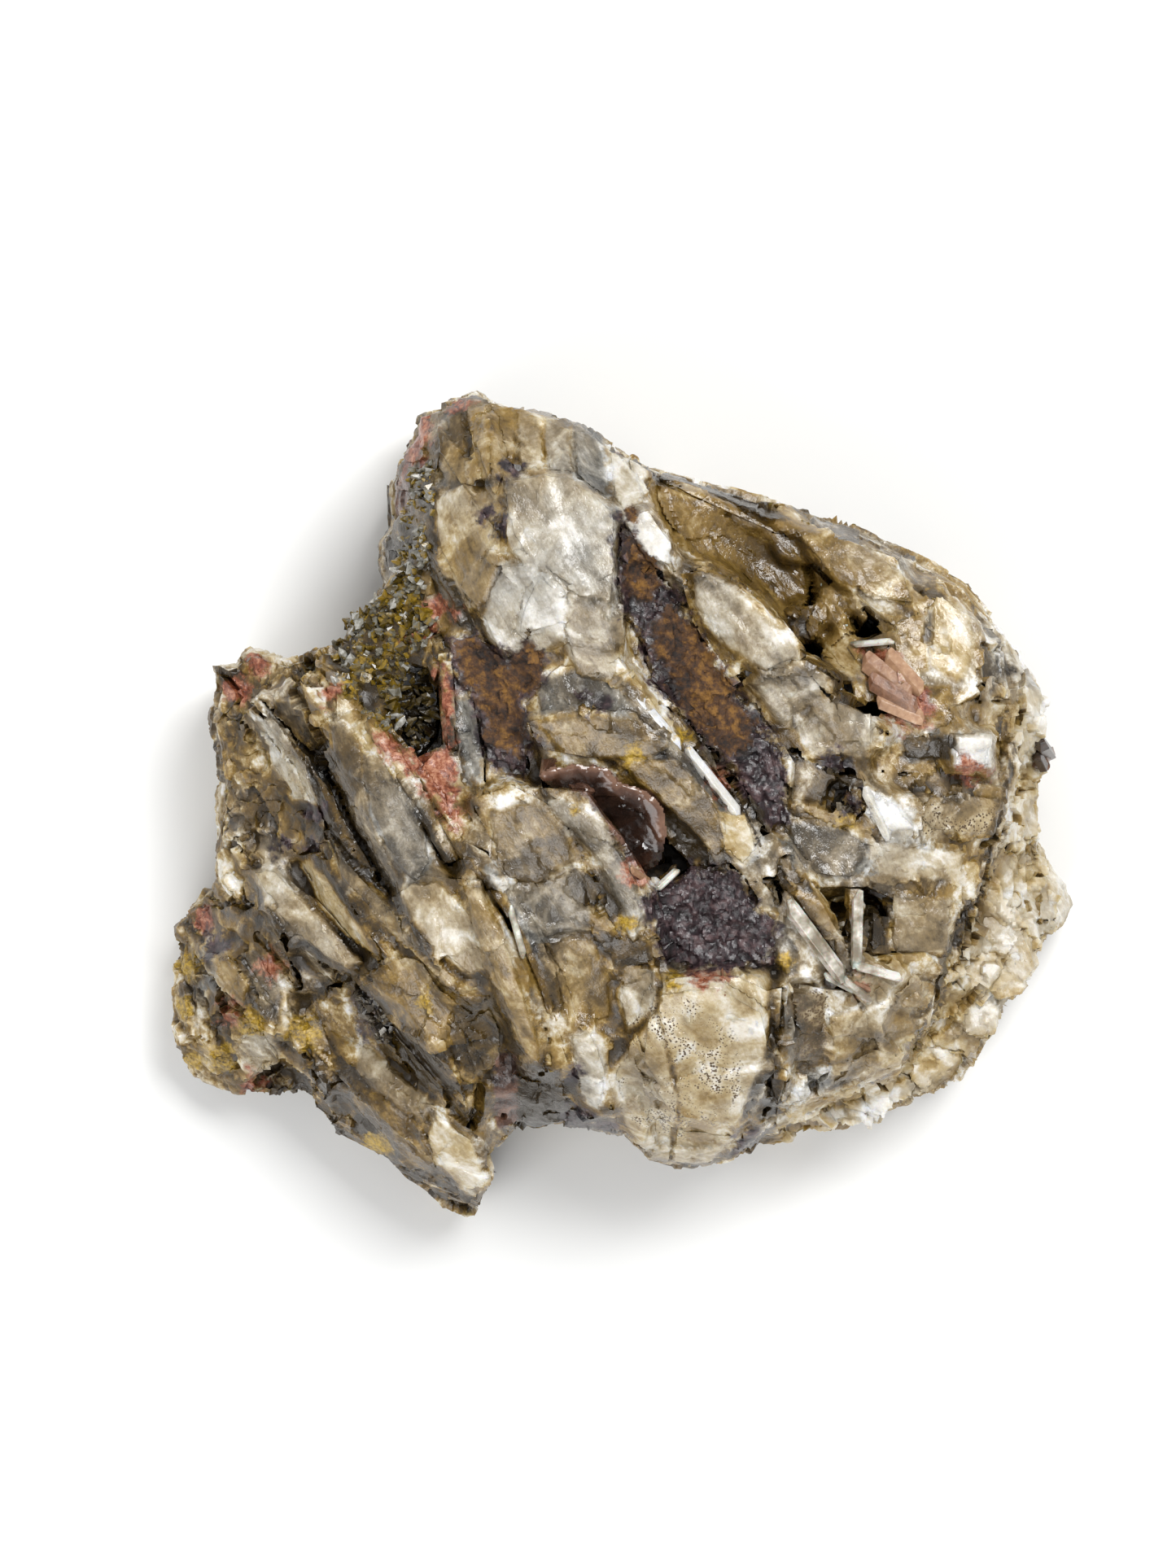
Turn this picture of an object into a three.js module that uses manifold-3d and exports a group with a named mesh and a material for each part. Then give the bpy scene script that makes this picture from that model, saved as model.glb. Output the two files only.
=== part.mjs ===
// A hand specimen of intergrown bladed crystals, broken from a vein: pale tabular blades in
// parallel ribs, recessed bands of iron oxide, a honey coloured hollow behind a high ridge, a small
// crystal-lined vug, and a granular outer crust. It lies on a flat broken back.
//
// Millimetres, +Z up. The forms are set out on a plan: u runs right, v runs down the plan, and h is
// the height above the resting face. The finished specimen is centred over the origin.
import * as THREE from "three";
import { ConvexGeometry } from "three/addons/geometries/ConvexGeometry.js";
import { mergeVertices } from "three/addons/utils/BufferGeometryUtils.js";
import Module from "manifold-3d";

const WASM = await Module();
WASM.setup();

// ---- Driving dimensions ----
const BODY_INSET = 0.4; // how far the body stands in from the specimen's outline
const WAIST_HEIGHT = 9; // where the body is widest
const FOOT_INSET = 3.2; // how far the resting face stands in from the waist
const WALL_FLARE = 0.09; // how far a crystal's wall leans out, per millimetre of height
const MOST_FLARE = 2.6;
const FLAT_WITHIN = 1.7; // an upper face whose corners are this near to one plane is flat
// The rough outer skin: how far it stands in from the outline at each height.
const SKIN_RINGS = [
  { height: 0, inset: 1.2, rough: 0.6 },
  { height: 9, inset: 0, rough: 0.25 },
  { height: 22, inset: 0.3, rough: 1 },
  { height: 58, inset: 1.6, rough: 1.2 },
];

// ---- The body under the crystals: convex masses, each an outline of its waist ----
// top is the height of its upper face, inset how far that face stands in from the waist.
const BODY = {
  leftBlock: {
    top: 15, inset: 3.5,
    waist: [[20.4, 114.2], [23.5, 111], [30, 106], [38, 110], [39, 128], [34.6, 135.2], [30, 135.6],
      [24, 134], [21, 131.2], [20.5, 124]],
  },
  leftWing: {
    top: 24, inset: 5,
    waist: [[25.4, 81.6], [30.4, 79.4], [38, 80], [48, 86], [56, 104], [58, 126], [50, 137], [40, 139],
      [30, 126], [25.4, 106], [25.2, 88]],
  },
  underBlade: {
    top: 15, inset: 3,
    waist: [[30, 118], [50, 118], [60, 132], [58, 140], [44, 140], [33, 134]],
  },
  lowerTip: {
    top: 17, inset: 4,
    waist: [[38, 122], [54, 122], [59.5, 136], [60.6, 144.5], [59.6, 148.6], [57.2, 150.6], [54.6, 149.6],
      [47.5, 143.5], [42, 140.5], [36.5, 137]],
  },
  centre: {
    top: 36, inset: 6,
    waist: [[44, 76], [52, 70], [96, 84], [98, 134], [94, 141.5], [70, 138.5], [62, 140.6], [57, 136],
      [46, 104]],
  },
  tooth: {
    top: 26, inset: 5,
    waist: [[72, 118], [97, 118], [96, 139], [90.5, 143.4], [86, 144.1], [81, 143.2], [77, 140.4],
      [72, 136]],
  },
  crown: {
    top: 33, inset: 5.5,
    waist: [[50.8, 50.4], [54.5, 49.2], [58.4, 47.6], [61, 48.7], [66, 49.9], [72, 52.1], [77.5, 54.8],
      [84, 74], [62, 86], [47.4, 74], [46.2, 70], [47.2, 61], [49, 55.5]],
  },
  right: {
    top: 31, inset: 8,
    waist: [[78, 56.6], [90, 59.6], [100, 62], [110, 66.2], [119, 71.2], [125.4, 79], [128.2, 82.6],
      [128.8, 95], [128.3, 103], [120, 128], [98, 138], [76, 100]],
  },
  lowerRight: {
    top: 26, inset: 8,
    waist: [[100, 96], [127, 100], [130, 106.4], [132.5, 111.5], [128.6, 119.5], [124, 127], [119.4, 133.2],
      [113, 136.6], [104, 140.6], [97, 141.2], [90, 142.4], [88, 120]],
  },
};

// ---- Crystals and faces: the corners of each upper face, [u, v, h] ----
const LEFT_WING = {
  shoulder: [[26, 81.6, 24], [30.4, 79.6, 26], [37, 80.6, 31], [40, 86, 34], [36, 90, 33], [28, 88, 27],
    [25.4, 85, 20]],
  mottledTop: [[26.6, 87.5, 25], [32, 86.5, 31], [36, 92, 33.6], [39, 99, 34], [38.6, 104, 32.6],
    [34, 106.5, 30], [27, 104, 25], [25.8, 96, 22]],
  mottledFoot: [[25.6, 103, 22], [34, 102.5, 30], [36, 107, 31], [33, 111, 28], [27, 112, 20],
    [24.2, 109.6, 15]],
  creamFoot: [[29, 110, 23], [33.6, 112.6, 26], [40, 117.2, 29.6], [43.4, 120.6, 30], [38, 121, 26.6],
    [31, 116.4, 22]],
  grooveBed: [[37.6, 121, 25.6], [43, 121.6, 29], [46, 125.6, 29], [50, 130, 28.6], [54, 134.4, 27.4],
    [50, 135.6, 26], [42, 130.6, 24], [36.6, 125, 22]],
  paleEnd: [[51.6, 135.6, 30.6], [56, 136.2, 32.4], [59, 140, 30.6], [60.4, 145, 26], [58, 149.4, 17.6],
    [54, 143, 26.6]],
  ledge: [[44.4, 139.6, 20], [49, 138.2, 25], [53, 141.4, 25.6], [52, 145, 20], [47.8, 143.2, 15.6]],
  hatchedBlock: [[54.4, 121.6, 38.4], [60, 119.6, 41.4], [62, 126, 39], [63, 134, 34], [62.8, 138.6, 27],
    [60, 141.4, 21], [57.6, 138, 29.4], [55.4, 133, 33.4]],
};

const LEFT_BLOCK = {
  blockTop: [[20.8, 114.4, 11], [24.4, 110.6, 16], [28, 111, 21], [34, 113.6, 25.6], [36.4, 122, 24.4],
    [35.2, 134.6, 15], [30, 135, 9.4], [22, 132, 6.6], [20.8, 126, 8]],
  creamOne: [[25, 118.4, 20.6], [29, 117.2, 24.4], [33.8, 124, 26.6], [33.2, 126.8, 24.6], [27.4, 124, 20.8]],
  creamTwo: [[28, 128.4, 18.6], [31.6, 126.4, 21.4], [35.2, 133, 18.8], [33, 135, 14], [29.4, 133, 14.2]],
  brownPlate: [[30.6, 114.2, 25.4], [34.6, 115.6, 28.6], [36.8, 121.6, 27.4], [33, 121.2, 24]],
  greyEdge: [[22.4, 119, 13], [25.4, 116, 18.6], [27.2, 121, 20], [26, 127, 17.2], [22.6, 126, 11.4]],
};

const CROWN = {
  largePaleFace: [[62.4, 60, 47.2], [67, 59.2, 49], [70.4, 59.8, 49.6], [75.2, 63.6, 50.4],
    [75.4, 71, 51], [71, 72.6, 51.6], [65, 68.6, 50.4], [63.4, 66, 49]],
  lowerPaleFace: [[60.6, 68.4, 47.6], [64, 68.2, 50], [67, 70, 51.4], [70, 74.4, 50.8], [70, 79, 48.6],
    [66, 79.6, 47.6], [62.4, 81.2, 46.6], [60, 76, 46.4], [59, 72, 46]],
  paleWedge: [[65.2, 74.2, 51], [66.6, 71.8, 52], [70, 74.8, 51.8], [70, 76.6, 50.8], [64.4, 77.8, 50.4]],
  rightPrism: [[70, 72.6, 51], [73, 71.6, 52.2], [75.4, 72.2, 51.4], [75.6, 77, 50.8], [75.6, 82.4, 49],
    [71.4, 83, 48.8], [70, 78, 49.6]],
  tanFlank: [[53, 61, 40.6], [57, 60.4, 44], [61, 65.6, 46.6], [62.6, 68.2, 48], [60, 76, 46.4],
    [56.6, 72, 44], [54, 67, 41.4]],
  darkFlank: [[52, 65, 37.6], [54, 67.4, 41], [59, 76.4, 45], [60.2, 79.6, 44], [57, 77, 40.6],
    [53, 71, 36.6]],
  honeyBrow: [[55.4, 51.6, 38.6], [58, 50, 40], [66, 50.6, 42], [70, 52.6, 43.4], [70.6, 59, 47.2],
    [63, 60.2, 46.6], [57, 59.6, 43], [54.6, 56, 40]],
  browBlade: [[58.6, 52.4, 42], [60.4, 52, 43], [62, 58.4, 47.6], [61, 61, 47.4], [59.6, 57, 44.6]],
  greyPlate: [[70, 52.2, 42.6], [72.6, 53.4, 42], [74.2, 58, 44.6], [74.6, 62.6, 47.6], [71, 60.2, 47.4],
    [69.4, 56, 45.6]],
  leftMargin: [[51, 50.8, 31.6], [54, 49.6, 35], [56, 52, 39], [54, 57, 40], [53, 62, 39.6], [50, 65, 33],
    [47.6, 64, 25], [47.6, 59, 25], [49.4, 54.6, 28.6]],
  marginKnob: [[46.6, 66, 25], [50, 64, 32.6], [53, 67, 37.6], [53, 73, 38.4], [48, 73.4, 31],
    [46.4, 71, 26]],
  summit: [[56, 49, 35], [58.4, 47.9, 33], [61, 49, 36], [60, 51.2, 40], [57, 51, 38.6]],
  backRim: [[61, 49.2, 35], [66, 50.2, 37], [71, 51.9, 37], [73.6, 54, 37], [70, 54.4, 42], [63, 51.6, 40]],
  saddle: [[73.6, 54.2, 37.4], [77.4, 55, 35.6], [79.6, 56.6, 37], [77, 58.4, 42], [74, 58, 43]],
  paleNeck: [[74, 56.4, 41.4], [77.8, 56.2, 41.4], [80, 58.6, 42.4], [79, 62, 45.8], [78.4, 64.4, 47.2],
    [75.6, 63.6, 48.6], [74, 60, 46]],
  whiteSpur: [[76, 64, 48.4], [79.4, 63.6, 49], [82, 67.4, 49.6], [83, 71, 49.6], [81, 70.6, 48],
    [78, 67, 47.4]],
};

const OXIDE_BANDS = {
  bandUpper: [[75.8, 63.6, 46.6], [77.6, 66.4, 45.8], [82.4, 72, 45.8], [83.6, 76, 45.8], [80.6, 80, 45.8],
    [77.4, 76, 46], [75.8, 70, 46.6]],
  bandMiddle: [[79.6, 79, 45.2], [83.4, 75.2, 46], [89, 81, 46], [91, 85, 46], [96, 91, 45.4], [93, 95, 44.8],
    [87, 91, 44.8], [82, 85.4, 44.8]],
  bandLower: [[90, 95.4, 44.4], [94.4, 92.6, 45], [96.6, 96.4, 44.4], [95.6, 99, 44], [93.6, 101.6, 44]],
  leftPatch: [[54.6, 79.6, 41.4], [58, 78.4, 43], [60.6, 82, 44], [62.6, 87, 44.6], [64.4, 92, 45],
    [65, 96, 45.4], [61, 96.6, 44.6], [58, 90, 42.8], [55, 83.4, 41]],
  leftPatchLobe: [[62, 81.4, 44.6], [64.8, 78.6, 45.8], [68.6, 80.6, 46], [67.6, 85, 45.4],
    [65.4, 87.6, 44.6],
    [63, 86, 44.2]],
  purplePatch: [[78.6, 109.4, 44.2], [84, 107.4, 46], [89, 105.4, 47.6], [91.6, 109, 47.4], [93, 114, 46.2],
    [95, 117, 44], [93, 118.8, 43.4], [86, 118.8, 43], [80, 117.4, 42.6]],
};

const CENTRE = {
  greyKnot: [[64, 87, 46.6], [69, 82.4, 48], [74, 83.4, 49], [78, 86.6, 48.8], [79, 89, 48.4],
    [72, 88.8, 47.2]],
  feather: [[73, 82.4, 49], [75.6, 81.8, 50], [79.6, 86.6, 49.6], [82.6, 91, 49], [81, 91.6, 48.2],
    [77, 87, 48.6]],
  featherTwo: [[79.6, 84.6, 47.4], [81.6, 85.4, 48], [87, 92, 48], [89.6, 97.4, 47.4], [87.6, 97, 46.8],
    [83, 91, 47]],
  featherThree: [[83.4, 92, 48.4], [85.4, 91.6, 48.8], [91.6, 99, 48.2], [93.6, 103.4, 47.4], [91, 102, 47],
    [87, 97, 47.8]],
  goldenCap: [[65, 89, 48], [70, 87.4, 49.6], [77, 88.6, 51], [82, 91.6, 50.6], [84, 94.6, 49.6],
    [78, 92.8, 49], [72, 93, 48.2], [67, 92, 47.6]],
  oliveCrystal: [[73, 92.4, 49.4], [79, 91, 51], [84, 94, 51], [88, 100, 49.6], [89, 106, 46.6],
    [85, 107, 44.6], [81, 101, 46], [78, 96, 48]],
  brownHorn: [[66.4, 95, 47.4], [72, 93.6, 49], [76.6, 95, 47.8], [80, 100, 43.6], [82, 106, 39],
    [79, 107, 38], [74.6, 101, 41.6], [71.4, 96.8, 46]],
  speckledRidge: [[66.6, 97, 51.6], [72, 97.4, 53], [76, 103, 53], [79, 110, 51.4], [79.6, 114, 49.6],
    [77, 116, 48], [73.4, 109, 49.4], [70, 102, 50.6]],
  paleBoss: [[58.4, 98.4, 49.4], [63, 96.8, 51.4], [68.4, 99.4, 51.4], [71.4, 104.6, 50.4], [72.6, 110, 49.2],
    [66, 109.4, 47.6], [61, 106, 47.8]],
  paleBossLower: [[61.6, 106, 48.2], [66, 108.8, 48.2], [72.4, 109.6, 49.6], [75.4, 114.4, 48],
    [72, 117, 46.2], [65.4, 115.6, 45.4]],
  tanSlope: [[66, 115, 45.6], [75, 114.4, 48], [78.6, 119, 46], [78, 125.6, 42.8], [72, 127, 41.6],
    [69, 124, 43.4]],
  oliveTooth: [[74.4, 115.6, 48], [80, 114, 48.6], [81.8, 119.6, 46.8], [81.6, 124, 44], [77.2, 123.2, 44]],
  goldenMass: [[50, 106.8, 45], [54, 107.8, 47.4], [59, 108.4, 48.6], [60, 114, 48.4], [59.6, 120, 47],
    [57, 119, 44.6], [52, 113, 42]],
  edgeSplinter: [[57.6, 103.4, 49.4], [60, 104.6, 50.4], [62.6, 108.6, 50], [61.6, 109.4, 49],
    [58, 106, 48.2]],
  whitePatch: [[69, 126.6, 43.6], [72, 125.6, 45.4], [74, 131, 43.4], [75, 135.8, 38.8], [72, 136.6, 37],
    [70.4, 131, 40.6]],
  oliveStump: [[62.4, 131, 36], [69.4, 130.4, 40.4], [71.6, 134, 37.6], [71, 137.4, 31], [65.4, 138.8, 24],
    [63.4, 138.2, 25]],
  purpleFoot: [[69, 136, 32], [75, 137.2, 31], [76.6, 139.6, 24], [70, 138.2, 25]],
};

const TOOTH = {
  toothSlope: [[77, 122, 45], [82.4, 120, 47.4], [90, 119.4, 47.6], [95, 122, 45.4], [96, 129, 42],
    [94, 136, 35.6], [91, 141.4, 27], [86, 143.2, 23], [80, 142.2, 24.6], [76, 138, 32], [74.6, 131, 39.6]],
  toothFace: [[80, 122, 48.4], [88, 121, 50.4], [93, 124, 48.4], [94.4, 131, 45], [90, 138, 37],
    [83, 137, 39.6], [79, 130, 45]],
  toothLobe: [[74.6, 128, 42.4], [78, 126.4, 45.6], [80.4, 133, 41.6], [79, 140, 31.6], [76, 137, 33]],
  flankShard: [[93, 121.6, 46.4], [95.8, 121, 46.6], [96.6, 128, 43.6], [95.4, 134.6, 38], [94, 131, 42]],
};

const RIDGE_AND_HOLLOW = {
  ridgeLower: [[82.4, 71, 47.6], [86, 71, 50], [90, 76, 51.2], [94, 81.6, 51.4], [93.4, 84, 49.4],
    [90, 84, 47.4], [87.4, 80, 47], [84.4, 75, 47]],
  ridgeCrest: [[84.6, 70.2, 47.4], [87.4, 70.8, 49], [93, 75, 51.4], [95.4, 80, 52], [97.4, 80.6, 49.6],
    [94, 82, 51.6], [90, 76.6, 51.4]],
  ridgeShelf: [[90, 82.6, 48], [95, 81.4, 50.8], [98.4, 82, 50.4], [101.6, 84, 49], [101, 88, 47.8],
    [97.4, 90.6, 46.8], [94, 88.4, 46.6]],
  ridgeEnd: [[101, 85.6, 49], [104.6, 87.4, 49], [108.4, 90, 47.4], [105, 94, 46], [101, 95.4, 45.4],
    [97.6, 91, 46.8]],
  rimBack: [[79.6, 56.8, 33], [84.6, 58, 32], [92.4, 60, 32], [96, 62.6, 35.6], [98, 66, 38], [95, 65.6, 38],
    [88, 61.6, 37.4], [81, 59.2, 38]],
  rimShoulder: [[92, 60.2, 30], [100, 62.2, 28], [108, 66, 28], [112, 69, 31], [112.6, 74, 38],
    [109, 77, 40.6], [103, 72, 38.6], [98, 67, 38]],
  rimKnots: [[98.4, 66, 38.6], [104, 66.8, 38], [110, 69, 38], [111.6, 74, 40.4], [107, 73.6, 41],
    [102, 70.6, 39.8]],
  hollowWall: [[79, 59.4, 38], [86, 63, 36.4], [95, 65.4, 35], [95, 70, 30], [93.6, 75.6, 24], [88, 71, 29],
    [82, 66, 35]],
  hollowBack: [[94.6, 65.4, 35.4], [98, 68.6, 34.6], [101, 74, 31], [100, 79, 25], [97, 80, 21],
    [93.4, 75.6, 22]],
  hollowBrown: [[98, 69, 34], [103, 71.6, 36.6], [106, 76, 38], [105, 78.4, 33], [101, 77, 27.6]],
  hollowTongue: [[98, 77, 25], [102, 76.8, 31], [108, 81, 34], [107.4, 86, 32.6], [103, 84, 27],
    [99.6, 80, 23.6]],
};

const RIGHT_MASS = {
  whiteMass: [[109.4, 76.8, 42], [115, 73.6, 40.4], [119.4, 77, 39.6], [120.4, 84, 40.6], [115, 88, 43.4],
    [110, 84, 43.2]],
  outerShoulder: [[111.6, 69.4, 33], [118, 72, 32], [123, 77, 31], [125.4, 83, 31], [125.2, 88, 33],
    [118, 90, 39.6], [112, 86, 41], [109.6, 78, 40]],
  outerFace: [[116, 86, 41.6], [125, 84.4, 33], [124.2, 95, 34.6], [122.6, 103, 35.4], [116, 98, 41.4],
    [113, 90, 42.6]],
  roughKnob: [[118.6, 78.6, 39], [123, 80.2, 35.6], [124, 86, 35.4], [119.6, 86.4, 40]],
  creamKnob: [[112.4, 72.4, 38.8], [115.6, 72, 37.8], [117.6, 76.4, 39.4], [113.6, 77.6, 41.8]],
  rustPlates: [[105.4, 80, 40], [109, 80, 42.4], [112, 84.4, 43.6], [112.4, 86.6, 43.2], [109.4, 87.6, 42],
    [106.4, 84, 40.4]],
  bridgeBlade: [[103.8, 79.6, 38.6], [109.6, 77.6, 42.8], [110.2, 78.8, 43], [104.8, 81.2, 39.4]],
  tanBlock: [[109.4, 88.4, 43], [113.4, 86, 44.6], [116.6, 88, 43.8], [115, 90.2, 43.4], [110.4, 90.4, 43]],
  oliveSlab: [[109.8, 90.8, 42], [116.4, 90.6, 42.4], [117, 93.6, 41.6], [111, 93.8, 41]],
  whiteCube: [[116, 90.2, 45], [120.8, 90.6, 44], [121, 94.4, 43.2], [116.2, 94, 44.2]],
  layeredShelf: [[106, 94.6, 43], [113, 95, 43], [122.6, 97.4, 38.4], [122.6, 99, 37.8], [112, 98.4, 42],
    [106.4, 98, 42.6]],
  tanFacet: [[111.4, 98.6, 43.6], [117, 98, 42], [122.4, 98.8, 38.8], [121.4, 102.6, 38], [117, 103.4, 41],
    [113, 101, 43]],
  whiteFacet: [[105.4, 96.4, 45], [109, 97.8, 45.8], [112.6, 100, 44.6], [113, 104, 43], [108, 104.6, 43.6],
    [106, 101, 44.8]],
  middleChunk: [[96, 91.8, 46], [101, 95.2, 46.6], [105, 96, 46], [105.4, 100, 44.6], [100, 101.6, 44],
    [95.6, 99, 44]],
  streakyBed: [[94, 101, 44.2], [100, 100.6, 44.6], [108, 104.4, 43.8], [106, 107.6, 43], [99, 107, 43],
    [94.4, 105.6, 43.6]],
  beddedSlope: [[105.6, 103.8, 43.6], [113, 103.4, 43], [121, 104, 37], [119.4, 110, 37.6], [113, 112, 40.6],
    [106, 108.8, 42.6]],
  creamCrystal: [[88.4, 98.4, 47.6], [91.4, 98.8, 49.2], [93.6, 103.4, 47.8], [93, 106.4, 46.4],
    [90, 106.6, 46], [88.2, 103, 46.6]],
  roundedCrystal: [[91.4, 107.4, 46.4], [94.6, 107.8, 46.8], [95.4, 111, 45.8], [94, 113.2, 44.6],
    [92, 112, 44.8]],
};

const LOWER_RIGHT = {
  sunkenFacet: [[98, 108.4, 42.6], [104, 107.8, 42], [104.4, 112, 37.4], [103.4, 114, 36], [99.6, 111.4, 40]],
  sunkenFloor: [[103.6, 111, 35.4], [108.6, 111.4, 36], [109.8, 117, 34.6], [105, 117, 34]],
  tanWall: [[108.4, 110.6, 41.4], [116, 111.6, 40.4], [115.6, 117, 38], [110, 117.2, 38.6]],
  leftFace: [[96, 121, 41.4], [104, 121.6, 42.4], [107.4, 126, 41.4], [103, 131, 38], [96, 135, 34],
    [95, 127, 39.6]],
  rightFace: [[105.4, 117.6, 41.4], [113, 117.2, 40.4], [115, 119, 38], [113.6, 126, 35.4], [109, 130, 34.6],
    [106, 125, 40]],
  paleBeam: [[100.4, 126.6, 40.8], [107.6, 121, 42.6], [108.8, 122.6, 42], [102, 129, 39.4]],
  paleLedge: [[95.4, 134, 35], [103, 130.4, 38], [110.6, 128.4, 35.6], [110, 131.2, 32], [101, 134.4, 31],
    [95.6, 138.4, 27]],
};

// The granular outer crust, lower than the front mass and standing out past it.
const OUTER_CRUST = {
  crustRight: [[123.8, 80, 26], [127.2, 83, 20], [128.6, 86, 15], [128.6, 95, 14], [128.2, 103, 14],
    [124, 105, 27], [123.4, 95, 30]],
  crustPoint: [[121.6, 105, 28], [128, 104.6, 14], [130.2, 108, 10.6], [132, 111.6, 8.6], [128.8, 116.6, 7.6],
    [123, 118, 19], [119, 112, 28]],
  crustBow: [[117.6, 112, 28], [127.6, 117, 8.6], [125, 124.4, 7.6], [120.8, 130, 7.6], [115, 130, 19],
    [114, 122, 28]],
  crustFoot: [[113.6, 122, 27], [119.6, 130.4, 8.6], [113, 135.6, 7.6], [104, 139.8, 7.6], [100, 134, 21],
    [106, 131, 28]],
  crustToe: [[95.6, 137, 23], [102, 134, 23], [104, 139.8, 8.6], [97.6, 140.4, 8.6], [92, 141.6, 9],
    [92, 138.6, 21]],
  topSeam: [[96, 61.4, 29], [104, 64, 25.6], [112, 68, 25.6], [118.6, 72, 26], [117, 74, 32],
    [108, 68.6, 31], [98, 63.8, 33]],
};

const DRUSE_BED = {
  bed: [[42, 79, 32], [46, 74, 32.6], [50, 70.4, 35], [53, 74, 39], [54.4, 80, 41], [53, 86, 41.4],
    [48, 92, 41], [43.4, 88, 38], [39.8, 83.6, 34]],
  bedShelf: [[38, 80.2, 31.6], [41.6, 79, 33], [44, 82, 36.6], [42.6, 86.6, 38], [39, 84, 35.4]],
  pinkWedge: [[49.4, 93.4, 41.4], [53, 92.6, 42.8], [55.6, 92, 43.6], [56.6, 98, 43.6], [57, 101.4, 43.6],
    [53.6, 98.6, 42.2]],
  pinkFin: [[54.6, 81, 42.4], [55.4, 81, 42.8], [56.2, 92, 44.6], [55.2, 92.2, 44.2]],
  leftFin: [[45.6, 90.4, 42.6], [47, 90, 43], [51, 95.4, 43.8], [50, 96.2, 43.2]],
  greenCorner: [[56.4, 85.6, 42.6], [58, 84.6, 43.6], [59.4, 92, 45], [59.6, 97.6, 46], [57.4, 98, 45]],
};

// ---- Curved plates ----
// Stations along each plate's crest: [u, v, h, reach on the low side, reach on the high side]. The low
// side faces down the plan and left; it rolls over and drops.
const PLATES = {
  thinRib: { drop: 3, roll: 0.8, crest: [[31.6, 86, 33.6, 0.6, 0.7], [38.2, 93, 37, 0.8, 0.9],
    [41.6, 101, 38.6, 0.8, 0.9], [45.6, 107.6, 39.6, 0.7, 0.8], [48.6, 110.6, 39, 0.5, 0.5]] },
  greyRib: { drop: 7, roll: 2.2, crest: [[37, 83.6, 39, 1.2, 2.4], [43.6, 91.6, 43.2, 2.2, 3.2],
    [48.2, 99.6, 45.2, 2.4, 3.6], [51.4, 106.6, 45.2, 1.8, 3.2], [52.2, 111, 43, 0.6, 1.4]] },
  splitRib: { drop: 4, roll: 0.8, crest: [[45.8, 89, 44, 0.5, 1], [51, 97, 46.4, 0.8, 1.1],
    [55.6, 105.6, 46.8, 0.7, 1.2]] },
  splitRibTwo: { drop: 4, roll: 0.7, crest: [[50, 93, 45, 0.4, 0.9], [54.6, 99, 47.2, 0.6, 1],
    [58.6, 106.6, 47.8, 0.6, 1.1]] },
  beigePlate: { drop: 4, roll: 1.2, crest: [[50.6, 108.8, 45.2, 1.2, 3.4], [54.4, 113, 46.8, 3.2, 3.6],
    [58, 118.6, 46, 3.2, 2.4], [60, 122.4, 43.6, 1.6, 1.4]] },
  goldenRib: { drop: 6, roll: 1.8, crest: [[40, 102, 36.6, 1.4, 1.2], [44.6, 107.6, 40, 3, 1.6],
    [49, 113, 41.6, 3.6, 1.8], [53.6, 118.8, 42.2, 3.6, 2.2], [57, 125, 40.6, 2, 2]] },
  creamRib: { drop: 4, roll: 1, crest: [[31.4, 105.6, 29.6, 1, 1.2], [36.6, 111, 33, 2, 1.8],
    [41.4, 116, 34.6, 2.2, 2], [45.4, 119.6, 35, 1, 1.4]] },
  leafRib: { drop: 9, roll: 2.8, crest: [[45.4, 119.6, 38.8, 0.4, 2], [50.4, 123, 41, 1, 3],
    [54, 128, 40.4, 1.4, 3], [56.6, 133.4, 37.6, 1, 2.4], [57.6, 138, 33.8, 0.4, 1.2]] },
  goldenBlade: { drop: 6, roll: 1.2, crest: [[57.4, 107.6, 48.4, 0.8, 1], [60.8, 113.4, 50.4, 1.8, 1.1],
    [63.6, 120, 49.6, 2, 1.2], [66.2, 127.4, 46.2, 1.9, 1.2], [66.8, 131.2, 43.8, 1.2, 1]] },
  shadowBlade: { drop: 4, roll: 0.6, crest: [[60.4, 107.8, 48.8, 0.3, 1], [64, 113.4, 49.4, 0.4, 1.5],
    [67.2, 121, 47.4, 0.5, 1.5], [69.8, 129.8, 43.4, 0.4, 1]] },
  lowerBlade: { drop: 9, roll: 3, crest: [[38, 124.6, 23, 2, 1.8], [44, 129.8, 26.6, 3, 2.4],
    [49.6, 134.8, 29, 3, 2.8], [54.6, 140.2, 28.4, 3, 2.6], [57.6, 145, 23.6, 2, 2],
    [58.2, 148.4, 18, 1, 1]] },
};
const PLATE_DEPTH = 15;

// ---- Free-standing prisms: each lies between two points, from and to ----
const PRISMS = [
  { from: [104.6, 109.2, 43.6], to: [104.3, 118.6, 43.6], width: 1.9, thickness: 1.7 }, // upright rod
  { from: [95.6, 105, 45.4], to: [105, 120.2, 43.8], width: 3.6, thickness: 2.6 }, // slanting blade
  { from: [104.4, 117.4, 42.8], to: [110.2, 120.4, 42.4], width: 1.8, thickness: 1.5 },
  { from: [80.6, 108.4, 43.4], to: [83, 106.2, 45.6], width: 1.5, thickness: 1.0 },
  { from: [106.2, 86.4, 42.2], to: [111.4, 84.8, 44.4], width: 1.2, thickness: 0.9 }, // rusty fan
  { from: [107, 88.2, 42.6], to: [112.8, 85.8, 44.6], width: 1.2, thickness: 0.9 },
];

// ---- Hollows ----
// The vug's mouth on the plan, and how far it goes down. Its floor is smaller than its mouth.
const VUG = {
  mouth: [[50.2, 81.6], [53, 82], [54.2, 86], [53.6, 90.6], [51.6, 93], [50.2, 90.6], [48.6, 87],
    [48.8, 83.6]],
  top: 46, shoulder: 36, floor: 29, floorShare: 0.45,
};
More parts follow.
